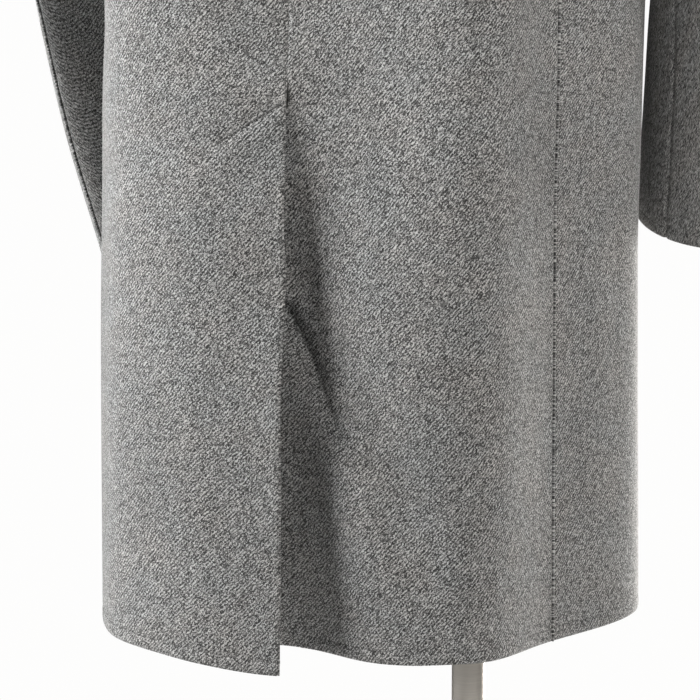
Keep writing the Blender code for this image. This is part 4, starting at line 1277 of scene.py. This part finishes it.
def flapLine(node):
    # round the free sides: down the first end, along the foot, up the other end
    points, normals = sewnGrids[node]
    inset = lapel["stitchInset"]
    across = arcAlong(points, 1)[0]
    low = np.array([numberAt(column, column[-1] - inset) for column in arcAlong(points, 0).T])
    first = numberAt(across, inset)
    last = numberAt(across, across[-1] - inset)
    foot = np.arange(math.ceil(first), math.floor(last) + 1, dtype=float)
    footRows = np.interp(foot, np.arange(len(across)), low)
    rowPath = np.concatenate([
        np.linspace(0.5, footRows[0], 20)[:-1], footRows, np.linspace(footRows[-1], 0.5, 20)[1:]])
    columnPath = np.concatenate([np.full(19, first), foot, np.full(19, last)])
    return lineOnGrid(points, normals, rowPath, columnPath)


def frontEdgeLine(panel, top):
    facts = panels[panel]
    rows = np.arange(np.count_nonzero(facts["heights"] < top))
    last = facts["points"].shape[1] - 1.0
    fromEdge = facts["fromLast"][rows, ::-1]
    columns = last - np.array([numberAt(away, lapel["stitchInset"]) for away in fromEdge])
    return lineOnGrid(facts["points"], facts["normals"], rows, columns)


def ventTopLine():
    # the slanted line that holds the vent's underlap, from the centre seam down over the left back
    facts = panels["back_left"]
    girth = np.linspace(0.002, 0.048, 30)
    rows = numberAt(facts["heights"], ventSlantZ(girth))
    columns = numberAt(panelGirths("back_left", 0.89, facts["share"]), girth)
    return lineOnGrid(facts["points"], facts["normals"], rows, columns)


def sideSeamLine(sideName):
    # in the ditch between back and front, up to the armhole: a continuous dark thread here is painted shade
    # for the seam's shadow line
    facts = panels["back_" + sideName]
    count = len(facts["heights"])
    edge = facts["points"][:count, -1]
    ahead = unit(edge - facts["points"][:count, -2])
    return edge + body["seamOpen"] * ahead, facts["normals"][:count, -1]


addStitches("hemStitches", [hemLine(panel) for panel in panels])
addStitches("cuffStitches", [cuffLine(node) for node in sleeveGrids])
addStitches("edgeStitches", [
    insetLine("lapel_left"), insetLine("lapel_right"), insetLine("collar"),
    flapLine("flap_left"), flapLine("flap_right"),
    frontEdgeLine("front_left", body["breakZ"]), frontEdgeLine("front_right", body["breakZ"])])
# painted shade: an unbroken dark thread along both side seams in place of the seam's shadow line
addStitches("seamShadeThread", [sideSeamLine("left"), sideSeamLine("right")])
addStitches("ventStitches", [ventTopLine()])


# Buttons: turned horn with a raised rim, a dished face and four holes crossed by thread
button = {"radius": 0.0125, "pitch": 0.13, "holeOff": 0.0028, "holeRadius": 0.0011}


def buttonSeat(number):
    z = body["breakZ"] - 0.012 - (number - 1) * button["pitch"]
    girth = halfGirth(z, 1.0)
    near = np.array([-0.004, 0.0, 0.004])
    rows = np.array([bodyRow("front_left", girth + near, z + d) for d in near])
    out = gridNormals(rows, levelled(rows))[1, 1]
    right = unit(np.cross([0.0, 0.0, 1.0], out))
    return rows[1, 1] + 2.0 * body["seamGap"] * out, out, right, np.cross(out, right)


def makeButton(number):
    # a profile turned about the seat's normal, with four steep bells pressed in as holes
    seat, out, right, up = buttonSeat(number)
    radius = button["radius"]
    profile = np.array([
        (0.0, 0.0), (0.55, 0.0), (0.86, 0.0002), (0.96, 0.0012), (1.0, 0.0026), (0.985, 0.0040),
        (0.93, 0.0049), (0.86, 0.0050), (0.78, 0.0044), (0.66, 0.0037), (0.45, 0.0034), (0.2, 0.0033),
        (0.004, 0.0033)])
    fine = curveThrough(np.arange(len(profile)), profile, np.linspace(0.0, len(profile) - 1.0, 90))
    turn = fullTurn(72)
    x = radius * fine[:, :1] * np.cos(turn)
    y = radius * fine[:, :1] * np.sin(turn)
    face = (np.arange(len(fine)) > 60)[:, None] & (fine[:, :1] < 0.7)
    off = button["holeOff"]
    holes = sum(
        bell((x - a * off) ** 2 + (y - b * off) ** 2, button["holeRadius"] ** 2)
        for a in (-1.0, 1.0) for b in (-1.0, 1.0))
    z = fine[:, 1:] - np.where(face, 0.0026 * holes, 0.0)
    points = seat + x[..., None] * right + y[..., None] * up + z[..., None] * out
    faces = quadsOf(len(fine), len(turn), closed=True)
    node = "button_%d" % number
    uv = np.stack([x, y], axis=-1).reshape(-1, 2)
    settle(meshPiece(node + "Horn", points.reshape(-1, 3) + body["offset"], faces, uv, horn), node)
    lines = []
    for a in (-off, off):
        for b in (-0.0003, 0.0003):
            ends = np.array([[a + b, -off], [a + b, off]])
            line = seat + ends[:, :1] * right + ends[:, 1:] * up + 0.0036 * out
            lines.append((line, np.array([out, out])))
    return lines


buttonLines = sum([makeButton(number) for number in (1, 2, 3)], [])
addStitches("buttonThread", buttonLines)
print("stitches and buttons made")


# Dress form: torso loft, flange, pole and base turned about the pole
form = {
    "torso": [
        (0.740, 0.120, 0.075, -0.012), (0.752, 0.142, 0.092, -0.012), (0.800, 0.160, 0.106, -0.010),
        (0.870, 0.166, 0.110, -0.008), (0.950, 0.158, 0.102, -0.004), (1.040, 0.146, 0.092, 0.000),
        (1.130, 0.155, 0.100, 0.002), (1.220, 0.166, 0.108, 0.004), (1.290, 0.178, 0.100, 0.004),
        (1.340, 0.190, 0.080, 0.003), (1.375, 0.200, 0.050, 0.002)],
    "neck": [
        (1.444, 0.071, 0.026, 0.000), (1.458, 0.060, 0.036, 0.000), (1.480, 0.056, 0.046, 0.000),
        (1.505, 0.0552, 0.0495, -0.001), (1.530, 0.055, 0.052, -0.001), (1.540, 0.053, 0.050, -0.001),
        (1.546, 0.049, 0.046, -0.001), (1.5495, 0.042, 0.039, -0.001), (1.551, 0.030, 0.028, -0.001),
        (1.551, 0.0005, 0.0005, -0.001)],
    "clearance": 0.0030,
    "sides": 84,
    # radius and height of the turned pieces, about the pole
    "flange": [
        (0.0131, 0.7397), (0.044, 0.7397), (0.0448, 0.7392), (0.045, 0.7384), (0.045, 0.7328),
        (0.0445, 0.7320), (0.036, 0.7305), (0.024, 0.7285), (0.0212, 0.7268), (0.0203, 0.7240),
        (0.020, 0.7200), (0.020, 0.6820), (0.0196, 0.6802), (0.0186, 0.6797), (0.0131, 0.6797),
        (0.0131, 0.7397)],
    "pole": [
        (0.0004, 0.7397), (0.0128, 0.7397), (0.0128, 0.55), (0.0128, 0.3), (0.0128, 0.0083),
        (0.0004, 0.0083)],
    "base": [
        (0.0004, 0.0080), (0.0131, 0.0080), (0.0131, 0.0495), (0.0137, 0.0500), (0.0260, 0.0500),
        (0.0272, 0.0496), (0.0279, 0.0488), (0.0280, 0.0475), (0.0280, 0.0200), (0.0285, 0.0172),
        (0.0302, 0.0148), (0.0330, 0.0134), (0.0360, 0.0130), (0.1000, 0.0112), (0.1850, 0.0090),
        (0.1880, 0.0082), (0.1895, 0.0068), (0.1900, 0.0052), (0.1900, 0.0010), (0.1892, 0.0002),
        (0.1880, 0.0000), (0.0004, 0.0000)],
}


def latheGrid(profile, sides):
    # a profile of radius and height carried round the upright axis
    profile = np.asarray(profile, float)
    turn = fullTurn(sides)
    return np.stack([
        profile[:, :1] * np.cos(turn), profile[:, :1] * np.sin(turn), profile[:, 1:] + 0.0 * turn], axis=-1)


def addFormPiece(node, grid, material, place):
    faces = quadsOf(*grid.shape[:2], closed=True)
    points = grid.reshape(-1, 3) + place
    settle(meshPiece(node + "Piece", points, faces, points[:, [0, 2]], material), node)


def makeTorso():
    # level ellipses; straight from ring to ring over the shoulders, which lie close under the cloth
    rows = [(0.741, 0.0005, 0.0005, -0.012), (0.7402, 0.112, 0.069, -0.012)]
    rows += form["torso"]
    for share in np.linspace(0.97, 0.17, 6):
        seam = shoulderPoint(share)[0]
        depth = 0.010 + 0.005 * (1.0 - share)
        rows.append((seam[2] - form["clearance"], seam[0] - 0.3 * form["clearance"], depth, 0.0))
    rows = np.array(rows + form["neck"])
    at = np.arange(len(rows), dtype=float)
    fineAt = np.linspace(0.0, at[-1], 8 * (len(rows) - 1) + 1)
    smoothRows = curveThrough(at, rows, fineAt)
    straightRows = np.stack([np.interp(fineAt, at, rows[:, k]) for k in range(4)], axis=1)
    shoulder = (fineAt > 2.5) & (fineAt < len(rows) - 9.0)
    fine = np.where((shoulder & (straightRows[:, 0] > 1.25))[:, None], straightRows, smoothRows)
    turn = fullTurn(form["sides"])
    z, halfWide, halfDeep, middle = fine.T[:, :, None]
    grid = np.stack([halfWide * np.sin(turn), middle + halfDeep * np.cos(turn), z + 0.0 * turn], axis=-1)
    addFormPiece("form_torso", grid, cover, body["offset"])


makeTorso()
for part, sides in (("flange", 72), ("pole", 72), ("base", 120)):
    addFormPiece("form_" + part, latheGrid(form[part], sides), steel, np.zeros(3))
print("dress form made")


# Camera: behind the coat, turned towards the wearer's right, a long lens a little above the hips
camera = {
    "turn": 20.0,
    "distance": 1.96,
    "height": 1.06,
    "pitch": 10.3,
    "focalPixels": 2625.0,
    "framePixels": 700.0,
    "axisPixel": 370.0,
}


def makeCamera():
    turn = math.radians(camera["turn"])
    pitch = math.radians(camera["pitch"])
    back = np.array([-math.sin(turn), math.cos(turn), 0.0])
    place = body["offset"] + back * camera["distance"] + np.array([0.0, 0.0, camera["height"]])
    yaw = math.atan((camera["axisPixel"] - 0.5 * camera["framePixels"]) / camera["focalPixels"])
    sideways = np.cross(-back, [0.0, 0.0, 1.0])
    ahead = -back * math.cos(yaw) - sideways * math.sin(yaw)
    right = np.cross(ahead, [0.0, 0.0, 1.0])
    look = ahead * math.cos(pitch) - np.array([0.0, 0.0, math.sin(pitch)])
    data = bpy.data.cameras.new("photoCamera")
    data.sensor_width = 36.0
    data.lens = camera["focalPixels"] * 36.0 / camera["framePixels"]
    data.clip_start = 0.05
    bpy.context.scene.camera = standAt("photoCamera", data, place, look, right)
    return back, sideways


towardsCamera, cameraRight = makeCamera()


# Studio: soft lights round the coat, white surround and a pale floor that fades into it
studio = {
    # degrees from the camera's side, plus to the left; degrees up; metres away; height aimed at; watts; tint
    "lights": {
        "left": (80.0, 22.0, 1.7, 1.00, 56.0, (1.0, 1.0, 1.0)),
        "rightFront": (-35.0, 26.0, 1.9, 1.00, 33.0, (1.0, 0.98, 0.96)),
        "right": (-64.0, 4.0, 2.2, 0.80, 3.0, (1.0, 0.96, 0.91)),
        "leftRim": (118.0, 5.0, 2.2, 0.75, 25.0, (1.0, 1.0, 1.0)),
        "rightRim": (-138.0, -4.0, 2.2, 0.60, 78.0, (1.0, 0.97, 0.93)),
        "far": (-146.0, 36.0, 2.0, 1.05, 46.0, (1.0, 1.0, 1.0)),
    },
    "size": 1.0,
    "surround": 0.02,
    "backdrop": 0.985,
    "floorRadius": 1.25,
}


def makeLight(name, facts):
    turn, rise, distance, aim, watts, tint = facts
    turn = math.radians(turn)
    rise = math.radians(rise)
    centre = body["offset"] + np.array([0.0, 0.0, aim])
    away = towardsCamera * math.cos(turn) - cameraRight * math.sin(turn)
    place = centre + distance * (away * math.cos(rise) + np.array([0.0, 0.0, math.sin(rise)]))
    look = unit(centre - place)
    data = bpy.data.lights.new(name + "Light", "AREA")
    data.size = studio["size"]
    data.energy = watts
    data.color = tint
    lamp = standAt(name + "Light", data, place, look, unit(np.cross(look, [0.0, 0.0, 1.0])))
    lamp.visible_camera = False


def makeSurround():
    world = bpy.data.worlds.new("studio")
    bpy.context.scene.world = world
    world.use_nodes = True
    tree = world.node_tree
    light = tree.nodes["Background"]
    light.inputs[0].default_value = (1.0, 1.0, 1.0, 1.0)
    light.inputs[1].default_value = studio["surround"]
    seen = tree.nodes.new("ShaderNodeBackground")
    seen.inputs[0].default_value = (1.0, 0.998, 0.994, 1.0)
    seen.inputs[1].default_value = studio["backdrop"]
    path = tree.nodes.new("ShaderNodeLightPath")
    mix = tree.nodes.new("ShaderNodeMixShader")
    tree.links.new(path.outputs["Is Camera Ray"], mix.inputs[0])
    tree.links.new(light.outputs[0], mix.inputs[1])
    tree.links.new(seen.outputs[0], mix.inputs[2])
    tree.links.new(mix.outputs[0], tree.nodes["World Output"].inputs[0])


def makeFloor():
    # a disc from a polar grid, fading into the white surround towards its rim
    radius = studio["floorRadius"]
    radii = np.linspace(0.0, radius, 24)
    radii[0] = 0.001 * radii[1]
    grid = latheGrid(np.stack([radii, 0.0 * radii], axis=1), 96)
    faces = quadsOf(*grid.shape[:2], closed=True)
    material, tree, shader = nodeTree("paleFloor")
    shader.inputs["Roughness"].default_value = 0.8
    place = objectPlace(tree)
    stops = [(0.3, (0.86, 0.855, 0.845)), (0.7, (0.90, 0.895, 0.885))]
    put(shader.inputs["Base Color"], ramp(noise(place, 40.0, 3.0), stops))
    length = newNode(place, "VectorMath", "LENGTH")
    put(length.inputs[0], place)
    put(shader.inputs["Alpha"], mapped(length.outputs["Value"], 1.0, 0.0, 0.55 * radius, radius))
    floor = meshPiece("floor", grid.reshape(-1, 3), faces, grid.reshape(-1, 3)[:, :2], material)


for lightName, lightFacts in studio["lights"].items():
    makeLight(lightName, lightFacts)
makeSurround()
makeFloor()
bpy.context.scene.view_settings.view_transform = "Standard"
print("studio made")
